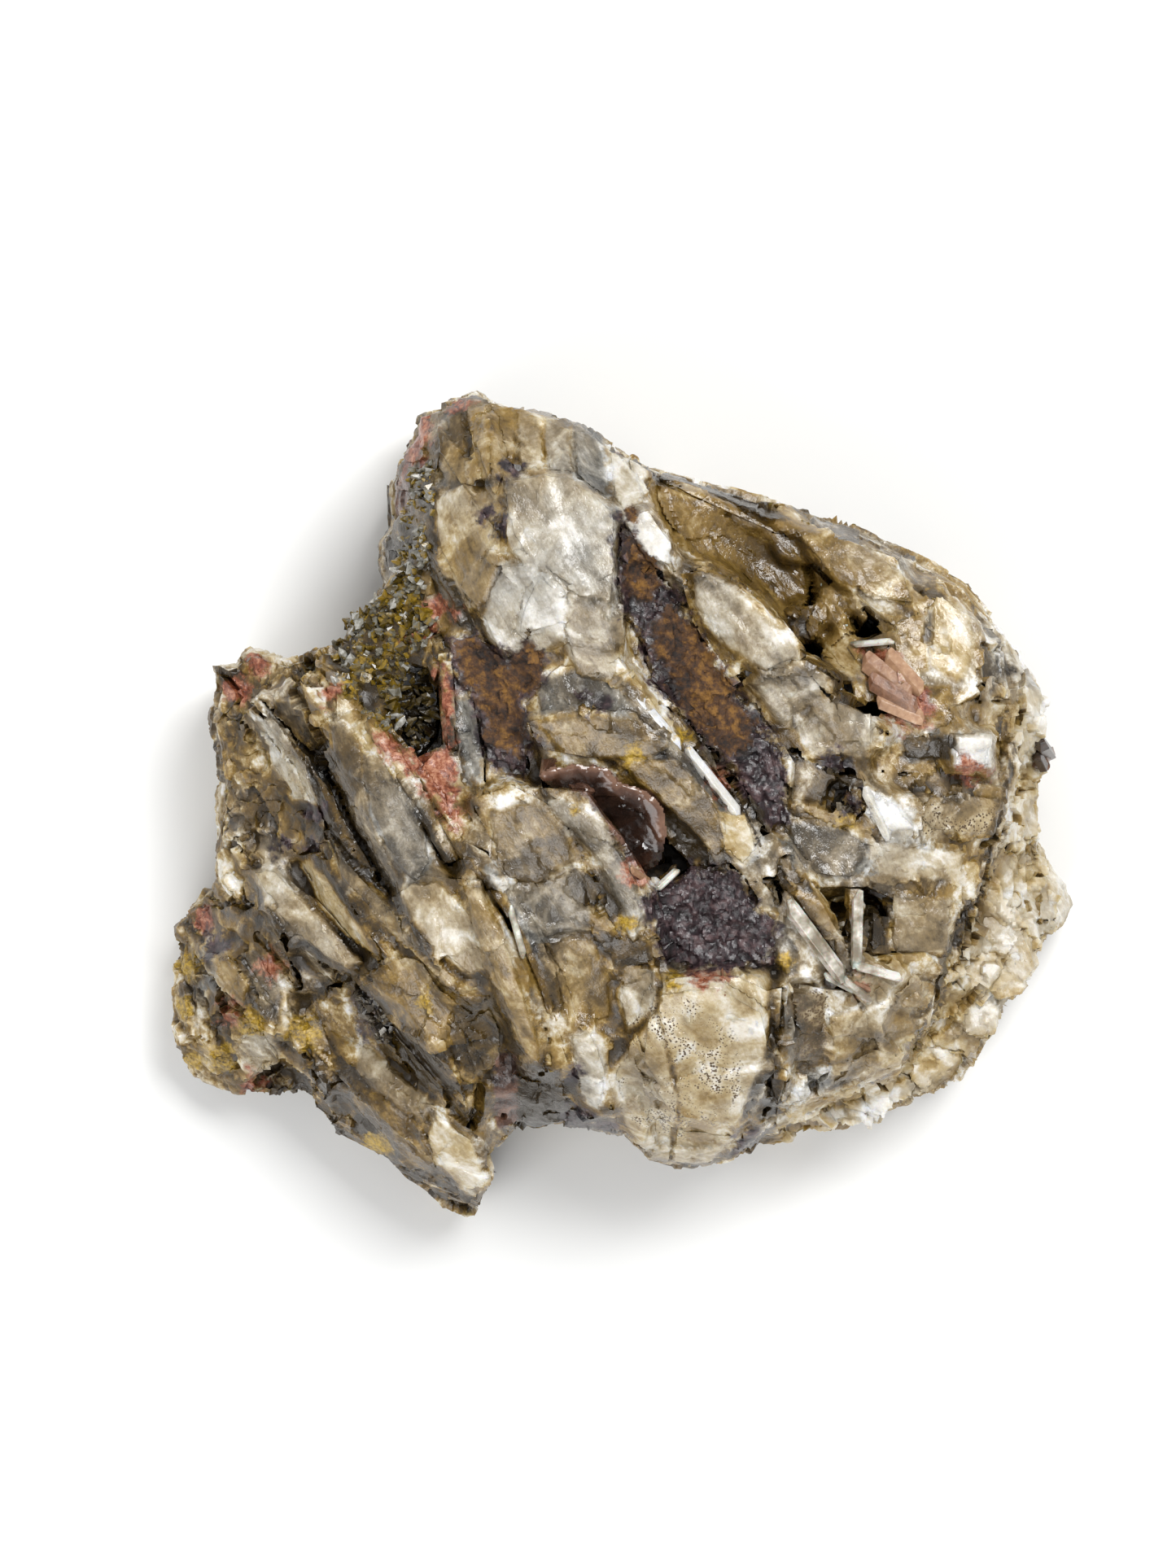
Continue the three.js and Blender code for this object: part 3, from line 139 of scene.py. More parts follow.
# Mineral patches on the plan, in millimetres: outlines, and round spots as (u, v, radius).
PATCHES = {
    "rim": [
        [(122.4, 84), (126, 80), (140, 86), (140, 113), (128, 140), (98, 146), (95.4, 138.6), (96, 134.6),
         (108, 131.8), (115, 124), (118.6, 114), (122.4, 104), (124.4, 94)],
    ],
    "specks": [
        [(78, 124), (84, 122), (90, 127), (91, 134), (86, 141), (78, 138), (75.6, 131)],
        [(112, 98.4), (122.6, 98.4), (122, 102.4), (113, 102.4)],
        [(96, 121.6), (101.4, 121.6), (101.4, 130), (96, 130)],
    ],
    "rust": [
        [(55.8, 79.2), (59.2, 78.6), (60.4, 80.6), (62.2, 81.6), (63.8, 79.4), (65.4, 79.2), (67, 82.4),
         (66.4, 85), (64, 85.4), (64, 88), (65, 90), (64, 93.4), (60.4, 91.6), (59, 86), (57.2, 84)],
        [(76.6, 66), (78.4, 67.6), (81, 71), (80.6, 75), (78.6, 74.8), (76.6, 71.4)],
        [(79.8, 76.8), (82.6, 74.6), (85.6, 77.6), (88.4, 82.4), (90.4, 86.6), (92.6, 89.6), (91.6, 93),
         (88, 92.4), (84, 87.6), (81, 82.4)],
        (77.6, 63.6, 0.8),
    ],
    "purple": [
        [(54.8, 78.4), (59, 77.6), (62, 80.6), (65, 78.2), (67.2, 81.4), (67.6, 84), (65.2, 86.6),
         (65.8, 90.6), (64.6, 95.6), (62.4, 94.8), (59.2, 92.4), (58, 87), (55.4, 82.6)],
        [(75.7, 63.6), (77, 65.4), (80, 69.2), (83.4, 74.2), (86.2, 78.2), (88.6, 82), (90.6, 85.4),
         (93, 88.4), (96.2, 92.4), (96.5, 96.6), (96.5, 101.4), (94, 102), (92, 98.4), (90, 95.2),
         (86, 91), (83, 88), (80, 84), (78.2, 78.4), (75.8, 75), (75.5, 70)],
        [(78.4, 110), (81, 108.4), (84.6, 106.2), (90, 106.4), (91.6, 108.6), (95.4, 113.6), (95.2, 118.6),
         (89, 119), (82.4, 118.6), (80.6, 116.4)],
        (71.4, 85.6, 1.0), (73.4, 86.4, 1.2), (72.4, 87.6, 0.7), (63.4, 58.2, 1.4), (60, 63.6, 1.5),
        (61.4, 64.6, 1.2), (39, 99.8, 1.2), (35, 104, 1.2), (38.6, 104, 1.1), (102, 93.6, 1.6),
        (70.8, 131.4, 1.2), (26.6, 116.4, 2), (71, 137.6, 2.2), (74.6, 138.6, 1.6), (44.6, 123, 1.7),
        (45.6, 126.4, 1.5), (92.2, 139.6, 1.2), (91, 141, 1.2), (104.4, 98.2, 1.6),
    ],
    "salmon": [
        [(48.8, 93), (52, 92.6), (54.6, 91.6), (56, 94), (57, 101.2), (55.2, 100.4), (52, 97)],
        [(46.6, 89.8), (48, 90.6), (50.4, 93.6), (49.6, 95), (47.2, 92.4)],
        [(54.6, 81.6), (55.6, 82), (55.8, 94), (54.8, 94)],
        [(50.2, 50), (53, 50.4), (53, 54), (51.4, 58), (49.6, 58.4), (49.4, 54.4)],
        [(50, 78.2), (53.4, 73), (56, 75.4), (52, 79)],
        [(105.8, 80.2), (109, 80), (110.4, 83.6), (113.6, 85), (114.2, 88), (110, 90), (106.6, 85.6)],
        [(84.4, 118.8), (89.6, 118.6), (88.8, 120.6), (85, 120.8)],
        [(87.2, 95), (88.8, 95), (89.2, 98), (87.4, 98)],
        (32, 81.2, 1.7), (28.8, 84.8, 1.9), (41.2, 85.2, 1.1), (24.2, 113.4, 1.3), (27.6, 124.6, 1.3),
        (56.6, 49.4, 1.1), (30.4, 133.8, 1.5), (118, 95, 1.2), (120.6, 95.2, 1.0), (105.4, 120.6, 1),
        (80, 102.2, 0.9), (78.6, 107, 1.6), (76.6, 54.6, 1), (33, 119, 1.6),
    ],
    "yellow": [
        (26.5, 97, 0.9), (45, 81.6, 1.4), (49.2, 71.8, 1.3), (51, 74.6, 1.1), (48, 80, 1), (43.6, 84, 1.2),
        (82.6, 120, 1.3), (22.4, 119, 1.8), (21.6, 124, 1.4), (26.4, 130.6, 1.9), (45.8, 141.4, 1.8),
        (37, 127, 2.4), (30.6, 126, 1.8), (22.6, 131, 1.6), (96, 117.6, 1.2), (71, 98.6, 0.9),
        (78, 92.8, 1.2), (84, 90.6, 1.2), (40.6, 77.4, 1.2), (44.6, 74.6, 1.6), (103.6, 101, 1.1),
        (52.6, 122.6, 1.1), (77, 113, 1.2),
    ],
    "honey": [
        [(79, 57.6), (92, 60), (96, 64.6), (101, 70), (106, 77), (108, 86), (104, 90), (101, 84), (97, 78.4),
         (92, 73), (86, 67), (81, 62.6)],
        [(52, 60), (57, 60), (62, 67), (59, 76), (54, 68)],
        [(56, 51.6), (66, 50.8), (70, 53), (70, 58.6), (60, 59.4)],
        [(65.6, 88.6), (72, 87.6), (79, 88.6), (84, 92.4), (79, 93.6), (68, 92.6)],
        [(50, 107), (58, 109), (61, 121), (57, 128), (52, 120)],
        [(57.6, 109), (61, 109), (66, 122), (67, 130), (62.4, 128)],
        [(38.6, 104), (43, 105), (50, 113), (56, 122), (56, 129), (47, 117), (41, 111)],
        [(73, 114), (80, 114), (81, 121), (76, 126), (70, 124)],
        [(34, 124), (46, 130), (53, 140), (49, 146), (39, 138)],
        [(105, 88), (110, 88.6), (107, 94), (101, 94)],
        [(54, 121), (61, 121), (62, 134), (59, 139), (55, 133)],
        [(50.6, 65), (56, 66), (60, 77), (57, 78), (53, 72)],
        [(94, 62), (110, 68.4), (111, 74), (103, 71.4), (96, 66.6)],
    ],
    "frost": [
        [(62.6, 60.2), (70, 59.6), (75, 63), (75.4, 70), (70, 72.4), (64, 68.6)],
        [(61, 69), (66.6, 70.4), (70, 75), (69.6, 79), (62.4, 80.6), (60, 75)],
        [(74.4, 56.6), (79, 57), (79, 63), (75.6, 63)],
        [(76.4, 64), (79.4, 63.8), (82.4, 68.6), (83, 70.6), (80, 70)],
        [(109.6, 77.6), (116, 74), (119, 78), (119.6, 84), (114, 87.6), (110.4, 83.6)],
        [(105.8, 96.6), (109, 98), (113, 101), (113, 104), (109, 104.6)],
        [(69.8, 126.8), (73.4, 126), (74.4, 135), (72, 136.4), (70.6, 131)],
        [(116.4, 90.4), (120.8, 90.8), (120.8, 94.2), (116.6, 94)],
        [(67, 97.6), (72, 97.8), (76, 103.6), (79, 111), (78, 114.6), (74, 108.6), (70, 102)],
        [(29.6, 88), (33.4, 87.4), (36, 92), (33, 94)],
        [(54, 136.6), (58.6, 140), (59.8, 145), (57.4, 148), (54, 143)],
        [(62.6, 110.8), (65, 114), (63.4, 117.6), (61, 114)],
        [(88.2, 99.4), (91.4, 99.2), (93, 104.6), (90, 106)],
        [(104, 103), (118, 104.6), (118, 108), (106, 107)],
        [(96, 133.4), (103, 131), (109, 129.6), (108, 131.4), (97, 136)],
        [(45, 96), (48.6, 100.6), (47.6, 103), (43.6, 98)],
        [(60, 96.6), (66, 97.4), (66, 108), (61.6, 106)],
        (49.8, 80.2, 1.2), (46.8, 66, 0.8), (31, 130, 2.6), (27, 121, 1.7), (52, 98.6, 0.6),
    ],
    "grey": [
        [(70.6, 52.6), (74, 54), (75, 61.6), (71.4, 59.8)],
        [(45, 91), (50, 98), (53.6, 106), (51, 109), (46, 101)],
        [(66, 84), (72, 82.6), (76, 85.6), (80, 90), (86, 95.6), (90, 100), (88, 101), (80, 93), (74, 87.6)],
        [(60.4, 107), (63, 108), (67, 116.6), (66, 118), (62, 112.6)],
        [(110, 90.6), (116, 90.6), (116, 93.4), (110.6, 93.4)],
        [(98, 77), (103, 78), (106, 85), (102, 85)],
        [(96, 101.6), (106, 103.6), (107, 107), (97, 106.6)],
        [(96, 122), (100, 122), (100.6, 129.6), (96.4, 130)],
        [(55, 121.6), (60, 122), (61, 128), (56.6, 128.6)],
        [(63.6, 131), (69.6, 131.4), (70, 138), (64.6, 138.4)],
        [(105.6, 111.6), (109, 111.8), (109, 117), (106, 116.6)],
        [(56, 86), (58.4, 86), (59.4, 96), (57.2, 98)],
        (39.4, 95, 1.8), (25, 119, 2.2), (46, 124.6, 2), (99, 126, 1.6), (42, 109, 1.4),
    ],
    "olive": [
        [(40, 78), (46, 73.4), (50, 70), (53, 73.6), (52.6, 78.6), (55, 82), (54, 92.6), (50, 93), (44, 88),
         (40.4, 84)],
        # The patch below is the underside of the leaf blade, olive in painted shade.
        [(43.6, 121), (48, 121.6), (52.4, 127), (55.6, 134.4), (53.6, 134.6), (48, 128)],
        [(49, 64), (52, 64.6), (52.6, 70), (49, 70)], [(51.4, 57), (53.4, 57), (53, 64), (51.4, 63.6)],
        [(74, 93.6), (79, 93), (85, 98), (88, 104), (86, 106), (80, 99.6)],
        [(52.4, 65.4), (54, 65.8), (59.8, 76.6), (58.6, 78)],
        [(98, 77), (104, 82), (106, 88), (101, 88), (97.6, 82)],
        [(62, 131), (69, 131), (70.6, 138), (64.6, 138.6)],
        [(55, 122.6), (60, 123), (61.6, 131), (57.4, 133)],
    ],
    "chocolate": [
        [(66, 95.4), (70, 94), (74, 94.2), (77, 96.4), (80.6, 97.4), (81.6, 101), (81, 105.6), (78.4, 107),
         (76, 104), (74, 100), (70, 96.8)],
        [(48.2, 58), (50.6, 58), (50.4, 64), (47.8, 63)],
        [(128, 90.6), (130.6, 91.4), (130, 95), (127.8, 94.4)],
        [(60.6, 129.6), (63.4, 129.4), (63.6, 138), (61, 139)],
    ],
    "crust": [
        [(121, 74), (135, 80), (136, 120), (122, 138), (98, 145), (94, 142), (95, 136), (103, 134.4),
         (110, 131.6), (113.6, 126.6), (115.4, 118.6), (118, 114), (120.4, 110), (122.4, 104), (124, 95),
         (124.4, 84)],
        [(15, 110), (25, 110), (31, 114), (36, 123), (39.6, 129), (36, 140), (15, 140)],
        [(20, 78), (36, 78), (37.6, 90), (40, 98.6), (38.4, 104), (33, 107), (28, 112), (20, 113)],
    ],
    "smooth": [
        [(80, 60), (92, 62), (97, 67), (99, 75), (94, 77), (86, 68)],
        [(63, 60.4), (74.6, 62.4), (75, 70.4), (70, 72), (64, 68)],
        [(61, 70), (69, 75), (69.6, 78.4), (62.4, 80)],
        [(76, 122), (92, 120), (95, 126), (92, 138), (84, 142), (77, 136)],
        [(37, 112), (41, 115), (46, 120), (44, 122), (38, 117)],
        [(44, 121), (47, 121), (52, 127.6), (56, 134), (53.6, 134.4), (48, 128.6)],
        [(46, 93), (50, 99), (53, 107), (50, 109), (45, 101)],
        [(58, 110), (61, 110), (66.6, 128), (64, 129)],
        [(67, 95), (76, 95), (81, 100), (81, 106), (77, 104)],
        [(97, 122), (112, 118), (112, 127), (103, 131), (97, 133)],
    ],
}


# The crystals with clean faces: height over the mass, how flat the face is (0 follows the mass, 1 is one
# plane), how light and how iron-stained the crystal is, and its outline on the plan in millimetres.
FACES = [
    ("crown_face", 0.5, 0.9, 0.49, 0.25, [(62.4, 59.4), (66, 59), (69.8, 59), (73, 61), (75.5, 63.9),
        (75.7, 68), (75.3, 74.8), (71.4, 73.8), (68.6, 71.9), (64.4, 70.2), (62.5, 67)]),
    ("crown_column", 0.5, 0.8, 0.43, 0.22, [(69.7, 73.2), (75.3, 74.6), (75.6, 80), (75.2, 83.2),
        (72, 83.6), (69.7, 80.6)]),
    ("crown_lower", 0.3, 0.8, 0.58, 0.09, [(59.4, 77.2), (60.6, 73.4), (62.4, 70), (65.6, 70.2),
        (69.4, 72.6), (69.6, 78.6), (66.2, 80.4), (62.8, 81.4), (60, 79)]),
    ("crown_left", 0, 0.6, 0.50, 0.61, [(53.6, 61.6), (57, 60.6), (61.8, 60.4), (62.1, 68), (60, 74),
        (57.6, 76), (54, 69)]),
    ("crown_strip", -0.4, 0.6, 0.19, 0.53, [(52.6, 66), (54.6, 69.4), (58.6, 76.6), (59, 78.2), (56, 77),
        (52.8, 71)]),
    ("column_a", 0, 0.6, 0.36, 0.64, [(54.4, 51.4), (57, 50.6), (57.6, 59.6), (55, 60)]),
    ("column_b", 0.5, 0.6, 0.50, 0.73, [(57.2, 50.4), (60.2, 49.9), (60.6, 59.4), (57.8, 59.8)]),
    ("column_c", 0.1, 0.6, 0.43, 0.71, [(60.4, 49.9), (63.4, 50.2), (63.6, 58.8), (60.8, 59.2)]),
    ("column_d", 0.6, 0.6, 0.48, 0.45, [(63.6, 50.4), (66.6, 51), (67, 58.8), (63.9, 58.6)]),
    ("column_e", 0.2, 0.6, 0.38, 0.17, [(66.8, 51.2), (70.2, 52.2), (70.4, 59), (67.2, 58.8)]),
    ("grey_column", 0, 0.7, 0.22, 0.00, [(70.5, 52.4), (73.4, 53.6), (74.4, 61.4), (72.6, 60.8),
        (70.6, 58.9)]),
    ("white_lump", 0.3, 0.5, 0.62, 0.40, [(74.6, 55.8), (77, 56), (79.4, 58.6), (79, 62), (76.6, 64),
        (75.4, 61.6)]),
    ("white_wedge", 0.2, 0.5, 0.68, 0.10, [(76.4, 64.6), (79, 63.2), (81.8, 67), (82.4, 70.4),
        (79.8, 69.2), (77.6, 66.6)]),
    ("rim_strip", 0, 0.4, 0.00, 1.10, [(79.6, 56.8), (84, 57.2), (92, 60), (97, 64.4), (94, 64.2),
        (86, 60.4), (80, 59)]),
    ("honey_face", 0, 0.6, 0.25, 0.98, [(79.4, 59.2), (86, 60.6), (94, 64.2), (98.6, 67.2), (99.4, 74),
        (97.6, 76.6), (93.4, 74.6), (88, 71.6), (82.6, 67)]),
    ("honey_step", 0.1, 0.8, 0.30, 0.83, [(91.2, 63.8), (95.2, 66), (94.8, 71), (93.2, 73.8), (90.6, 72.4),
        (88.4, 66.4)]),
    ("honey_shade", 0, 0.6, 0.35, 0.90, [(99.4, 69), (103, 73), (105.6, 80), (104.6, 83.6), (101, 81),
        (98.4, 77.4), (99.8, 74)]),
    ("ridge_face", 0.2, 0.4, 0.34, 0.57, [(97, 64.8), (104, 66.4), (111.6, 71.2), (112.4, 75.4),
        (108, 74.4), (101.4, 70.6)]),
    ("ridge_foot", 0, 0.5, 0.36, 0.66, [(103.6, 72.6), (108, 75), (113, 76.4), (113.6, 82.6), (110.6, 83),
        (106.4, 79.4)]),
    ("bright_face", 0.3, 0.5, 0.52, 0.58, [(114, 73.6), (118.4, 74.4), (119.4, 80), (117, 84), (113.8, 82)]),
    ("copper_side", 0, 0.5, 0.30, 0.77, [(110, 84.4), (116, 84.6), (116.6, 89), (111.6, 89.6), (108.6, 88)]),
    ("cream_ridge", 0.2, 0.5, 0.56, 0.27, [(84.8, 70.8), (88.6, 71.6), (93.6, 76.2), (97, 81), (94, 82.8),
        (88.6, 79.2), (85.2, 75)]),
    ("ridge_block", 0.3, 0.6, 0.36, 0.44, [(93.8, 82.6), (97.6, 81.6), (101, 83.2), (100.6, 85.2),
        (95.6, 89), (91.6, 84.4)]),
    ("step_block", 0.3, 0.6, 0.44, 0.40, [(100.4, 85.8), (107.4, 88), (105.8, 93.6), (99.4, 92.8),
        (97.4, 89.6)]),
    ("cleavage_cube", 1.1, 0.8, 0.82, 0.02, [(116.5, 90.6), (121.3, 90.6), (121.3, 94.4), (116.6, 94.3)]),
    ("dark_face", -0.3, 0.8, 0.00, 0.57, [(110.4, 90.4), (116.2, 90.6), (116.2, 93.4), (110.6, 93.4)]),
    ("white_face", 0.4, 0.7, 0.80, 0.04, [(106, 96.8), (109, 98), (112.2, 101.8), (108, 102.2),
        (105.6, 100)]),
    ("pink_face", 0.2, 0.8, 0.40, 0.44, [(112, 98.6), (122.4, 98.4), (122, 102.2), (113, 102.6)]),
    ("grey_fan", 0, 0.5, 0.18, 0.13, [(96.4, 101), (103, 101.6), (107, 104), (104, 108), (98, 107)]),
    ("bright_band", 0.1, 0.6, 0.54, 0.35, [(106, 103.4), (118, 104.8), (118, 108.4), (107.6, 107.4)]),
    ("tan_face", 0, 0.8, 0.41, 0.22, [(109.4, 109.6), (116.4, 110.4), (116, 116.6), (109.4, 117)]),
    ("dark_pocket", -0.6, 0.6, 0.06, 0.46, [(105.6, 111.4), (109, 111.6), (109, 117), (106, 116.6)]),
    ("south_face", 0.2, 0.5, 0.39, 0.62, [(101.6, 124.6), (107, 123.4), (112.4, 125.4), (113, 129),
        (108, 132.2), (102, 133.4)]),
    ("south_step", 0.1, 0.6, 0.43, 0.48, [(104, 119.6), (110, 118.4), (113.4, 121), (112.6, 124.6),
        (107, 122.6), (103.4, 123.2)]),
    ("south_wedge", 0, 0.6, 0.15, 0.31, [(96.4, 121.6), (101, 121.8), (101, 129.6), (96.8, 130.4)]),
    ("tooth_left", 0.3, 0.2, 0.60, 0.48, [(80.2, 124), (81.4, 127.2), (83.2, 134), (82.4, 142.6),
        (79.6, 142.4), (76, 136), (75, 131.3), (77, 127.6)]),
    ("tooth", 0.5, 0.2, 0.60, 0.6, [(81.6, 119.4), (88, 118.8), (94.2, 119.2), (94, 128), (90.9, 137.6),
        (87.4, 143), (82.6, 143), (83.4, 134), (81.6, 127), (80.4, 123.8)]),
    ("tooth_side", 0.2, 0.6, 0.50, 0.28, [(77, 118), (80.8, 118.6), (80.2, 123.4), (76.8, 126.6),
        (75.6, 122)]),
    ("grey_area", 0, 0.5, 0.25, 0.00, [(66, 83.4), (72, 82.8), (76.6, 85.6), (79, 88), (72, 87.4),
        (66.4, 88)]),
    ("golden_area", 0.1, 0.4, 0.31, 0.52, [(66, 88.8), (72, 87.9), (79, 88.8), (83, 91.8), (79, 93.2),
        (70, 93.4)]),
    ("olive_area", 0.1, 0.5, 0.35, 0.71, [(76, 94), (83, 93), (88, 98), (89, 104.4), (87.6, 105.6),
        (82, 99.6)]),
    ("streak", 0.4, 0.1, 0.19, 0.21, [(75.4, 83.4), (77.4, 84), (81, 88.6), (86.6, 95.6), (90, 99.4),
        (88, 99.6), (84.4, 95.6), (79, 89.6)]),
    ("yellow_face", 0.4, 0.5, 0.60, 0.83, [(88, 99.6), (91.6, 99.6), (92.8, 104.4), (91, 106.8),
        (88.4, 104.4)]),
    ("white_arc", 0.5, 0.1, 0.44, 0.06, [(66.6, 98.2), (70, 98.6), (74.2, 101.4), (77, 106), (79, 112),
        (78, 116), (76, 111.4), (73, 105.4), (69.6, 101.2)]),
    ("banded_top", 0.2, 0.5, 0.24, 0.45, [(60.6, 99.6), (66, 98.6), (69.2, 101.6), (70.6, 106), (66, 108),
        (61.4, 107.6)]),
    ("banded_foot", 0, 0.5, 0.29, 0.21, [(62, 108.2), (66, 108.4), (71, 106.6), (72.6, 109), (72.4, 114),
        (66, 115), (63.4, 111.6)]),
    ("banded_end", 0, 0.5, 0.25, 0.57, [(65.6, 115.4), (72.4, 114.6), (75, 120), (75, 125), (70, 126),
        (67.4, 121)]),
    ("gold_facet", 0.1, 0.6, 0.04, 0.84, [(74, 114.2), (79.6, 115.4), (80, 118), (75.6, 118.4)]),
    ("white_patch", 0.3, 0.4, 0.62, 0.05, [(70, 126.8), (74, 126.6), (74.6, 132), (73.6, 136.6), (71, 134)]),
    ("olive_block", 0.1, 0.5, 0.01, 0.79, [(62.4, 131.2), (68.6, 131), (70, 135), (68.4, 138.4), (63, 138)]),
    ("pale_plate", 0.1, 0.3, 0.68, 0.16, [(31.4, 88.4), (34, 88), (38, 94), (39.4, 99), (36, 98.6),
        (33, 94)]),
    # Painted shade: the side of a blade that rolls over into the groove, away from the light, brown and dark.
    ("shaded_roll", -0.1, 0.1, 0.26, 0.97, [(33.8, 87.4), (38.2, 93.4), (41, 96.6), (43, 101),
        (46.8, 107.4), (44.6, 106.4), (42.2, 104), (40, 98.6), (38, 94.2)]),
    ("grey_plate", 0.2, 0.4, 0.30, 0.22, [(44.8, 92.4), (47.6, 93.6), (51.6, 99.6), (53.4, 105.8),
        (51.6, 108.4), (48.8, 105.8), (45.8, 99.8)]),
    ("olive_plate", 0, 0.2, 0.29, 0.34, [(41, 87), (44.6, 91.6), (45.8, 100), (48.6, 106), (50.6, 111),
        (47.8, 107.8), (43.6, 101), (41.2, 94)]),
    ("golden_plate", 0.2, 0.3, 0.36, 0.50, [(40.6, 101.8), (43.4, 106), (46.4, 109), (50, 112.8),
        (52.4, 116), (50, 116.2), (46, 112.4), (42, 107.8)]),
    ("brown_tread", -0.1, 0.2, 0.68, 0.72, [(36.6, 106), (38.2, 105.4), (41, 109.2), (44.2, 113.4),
        (46.6, 118), (45, 117), (42.2, 114.4), (39.2, 111)]),
    ("cream_plate", 0.3, 0.3, 0.47, 0.44, [(30.9, 106.8), (33.6, 106.6), (38.6, 111.6), (43, 116.2),
        (44.8, 118.4), (42.4, 119), (36.8, 115.4), (32.6, 110.8)]),
    ("beige_plate", 0.3, 0.5, 0.54, 0.54, [(49.8, 108.6), (54, 108), (58.4, 112.4), (60, 118.8),
        (57.8, 120), (53.6, 116.4), (50.6, 112)]),
    ("west_plate", 0.1, 0.4, 0.31, 0.63, [(45, 119.4), (50, 117), (55, 118.6), (56.6, 121), (55, 127),
        (51, 126.6), (47, 122.4)]),
    ("golden_blade", 0.6, 0.1, 0.39, 0.66, [(57.4, 108.8), (59.4, 109.2), (63, 117), (66.4, 127.6),
        (66.4, 130.2), (65, 130.6), (61.8, 124), (58.6, 115)]),
    # Painted shade: a blade lying in shade, dark olive.
    ("shaded_olive_blade", -0.2, 0.2, 0.35, 0.89, [(60, 108.6), (62.4, 109.8), (66, 116.6), (68.2, 123.4),
        (67.2, 124.6), (64, 117.4)]),
    # Painted shade: the underside of the leaf blade, dark brown-olive.
    ("shaded_leaf_underside", 0, 0.6, 0.18, 0.66, [(43.6, 121.6), (46.6, 124), (51, 129.4), (55, 133.8), (53.2, 134.2),
        (48.8, 131), (45.2, 126.6)]),
    ("dark_block", 0, 0.6, 0.17, 0.52, [(55.4, 121.8), (61.4, 121.8), (62, 131), (57.4, 133), (55.6, 127)]),
    ("wing_tip", 0.3, 0.3, 0.65, 0.60, [(53.6, 137), (58, 140), (59.4, 145), (57, 147.6), (54.2, 143.4),
        (52.6, 139.6)]),
    ("wing_foot", 0.1, 0.3, 0.27, 0.88, [(41, 133.6), (47, 135), (52, 138.6), (53.8, 144), (50, 143.6),
        (45, 139)]),
    ("wing_gold", 0, 0.3, 0.40, 0.37, [(44.6, 128.6), (48.6, 132), (53.6, 135.6), (52.4, 137.8),
        (46.6, 134.4), (43.8, 131.6)]),
    ("west_lump", 0.4, 0.3, 0.44, 0.28, [(28.6, 126.6), (32, 126), (34.4, 129.6), (33, 134), (29.4, 132)]),
    ("west_tan", 0.4, 0.3, 0.52, 0.45, [(25.4, 117.6), (27.8, 117), (30.4, 121), (29.6, 123.4), (26.8, 121)]),
    ("west_pale", 0.3, 0.3, 0.14, 0.22, [(29.2, 117.2), (31.2, 116.6), (34.6, 121.6), (34.2, 126),
        (31.2, 124)]),
]


# Pits too wide to count as gaps, that grains still fill, as (u, v, radius).
FILLED = [(98.2, 117.2, 3.4), (107.6, 114.4, 2.6), (80.6, 61.0, 2.6), (97.4, 66.6, 3.0), (98.6, 76.6, 2.6),
          (102.6, 74.6, 3.0), (103.6, 80.8, 3.2), (106.0, 84.6, 2.0), (44.6, 100.4, 2.2), (39.6, 92.6, 2.2)]


# The long grooves between the blades, as lines on the plan, with painted shade along them.
GROOVES = [
    [(32.3, 87), (38.3, 95), (40, 99.3), (42.7, 105), (45.3, 107.7)],
    [(38.3, 93.7), (41.3, 96.7), (43, 101), (47.3, 108.3), (50.3, 112)],
    [(51.7, 100), (56, 106.3)],
    [(36.3, 106.7), (39, 111.7), (42, 115), (44.7, 117.3), (46.7, 118.7)],
    [(43.3, 121.3), (47.3, 126), (50.7, 130), (55.3, 134)],
    [(66.2, 95.5), (70, 96.5), (73.5, 98.5), (74.5, 101), (76, 104), (78, 108)],
    [(59.7, 108.3), (65.7, 116.3), (68, 123.3)],
    [(124.5, 79), (124, 95), (122.5, 100), (121, 105), (120, 110), (117.5, 115), (116, 118), (115, 123),
     (114, 127), (112, 131)],
    [(94.6, 119), (94.4, 128), (95, 137)],
    [(76.6, 66), (77.4, 74), (82, 84), (88, 93), (92, 100)],
    [(84, 70), (91, 76), (94, 80.6), (95.6, 82)],
]


# Open hollows, which no grains fill.
HOLLOWS = [
    [(99.4, 69.4), (105, 74), (109, 81), (108, 87.6), (102.4, 87), (97.4, 81), (96, 76.4)],
    [(48.4, 82), (53, 81.6), (55, 86), (54, 91), (51.6, 93.4), (48.4, 90)],
    [(100.6, 96), (105, 96), (105.8, 99), (103.6, 101), (100.6, 99.4)],
    [(73, 96), (80, 97), (86, 100), (86, 106), (78, 108), (75, 102)],
    [(100, 109), (109, 109), (109.4, 117), (103, 117.4)],
]


def plan_grid(left, top, columns, rows, cell):
    """The plan coordinates of the middle of each cell of a grid, in millimetres."""
    i, j = np.mgrid[0:rows, 0:columns]
    return left + (j + 0.5) * cell, top + (i + 0.5) * cell


def line_distance(u, v, line):
    """Distance in millimetres to an open line on the plan."""
    best = np.full(u.shape, 1e9)
    for (au, av), (bu, bv) in zip(line, line[1:]):
        du, dv = bu - au, bv - av
        t = np.clip(((u - au) * du + (v - av) * dv) / (du * du + dv * dv), 0, 1)
        best = np.minimum(best, np.hypot(u - au - t * du, v - av - t * dv))
    return best


def groove_distance(u, v):
    """Distance in millimetres to the nearest long groove."""
    return np.min([line_distance(u, v, line) for line in GROOVES], axis=0)


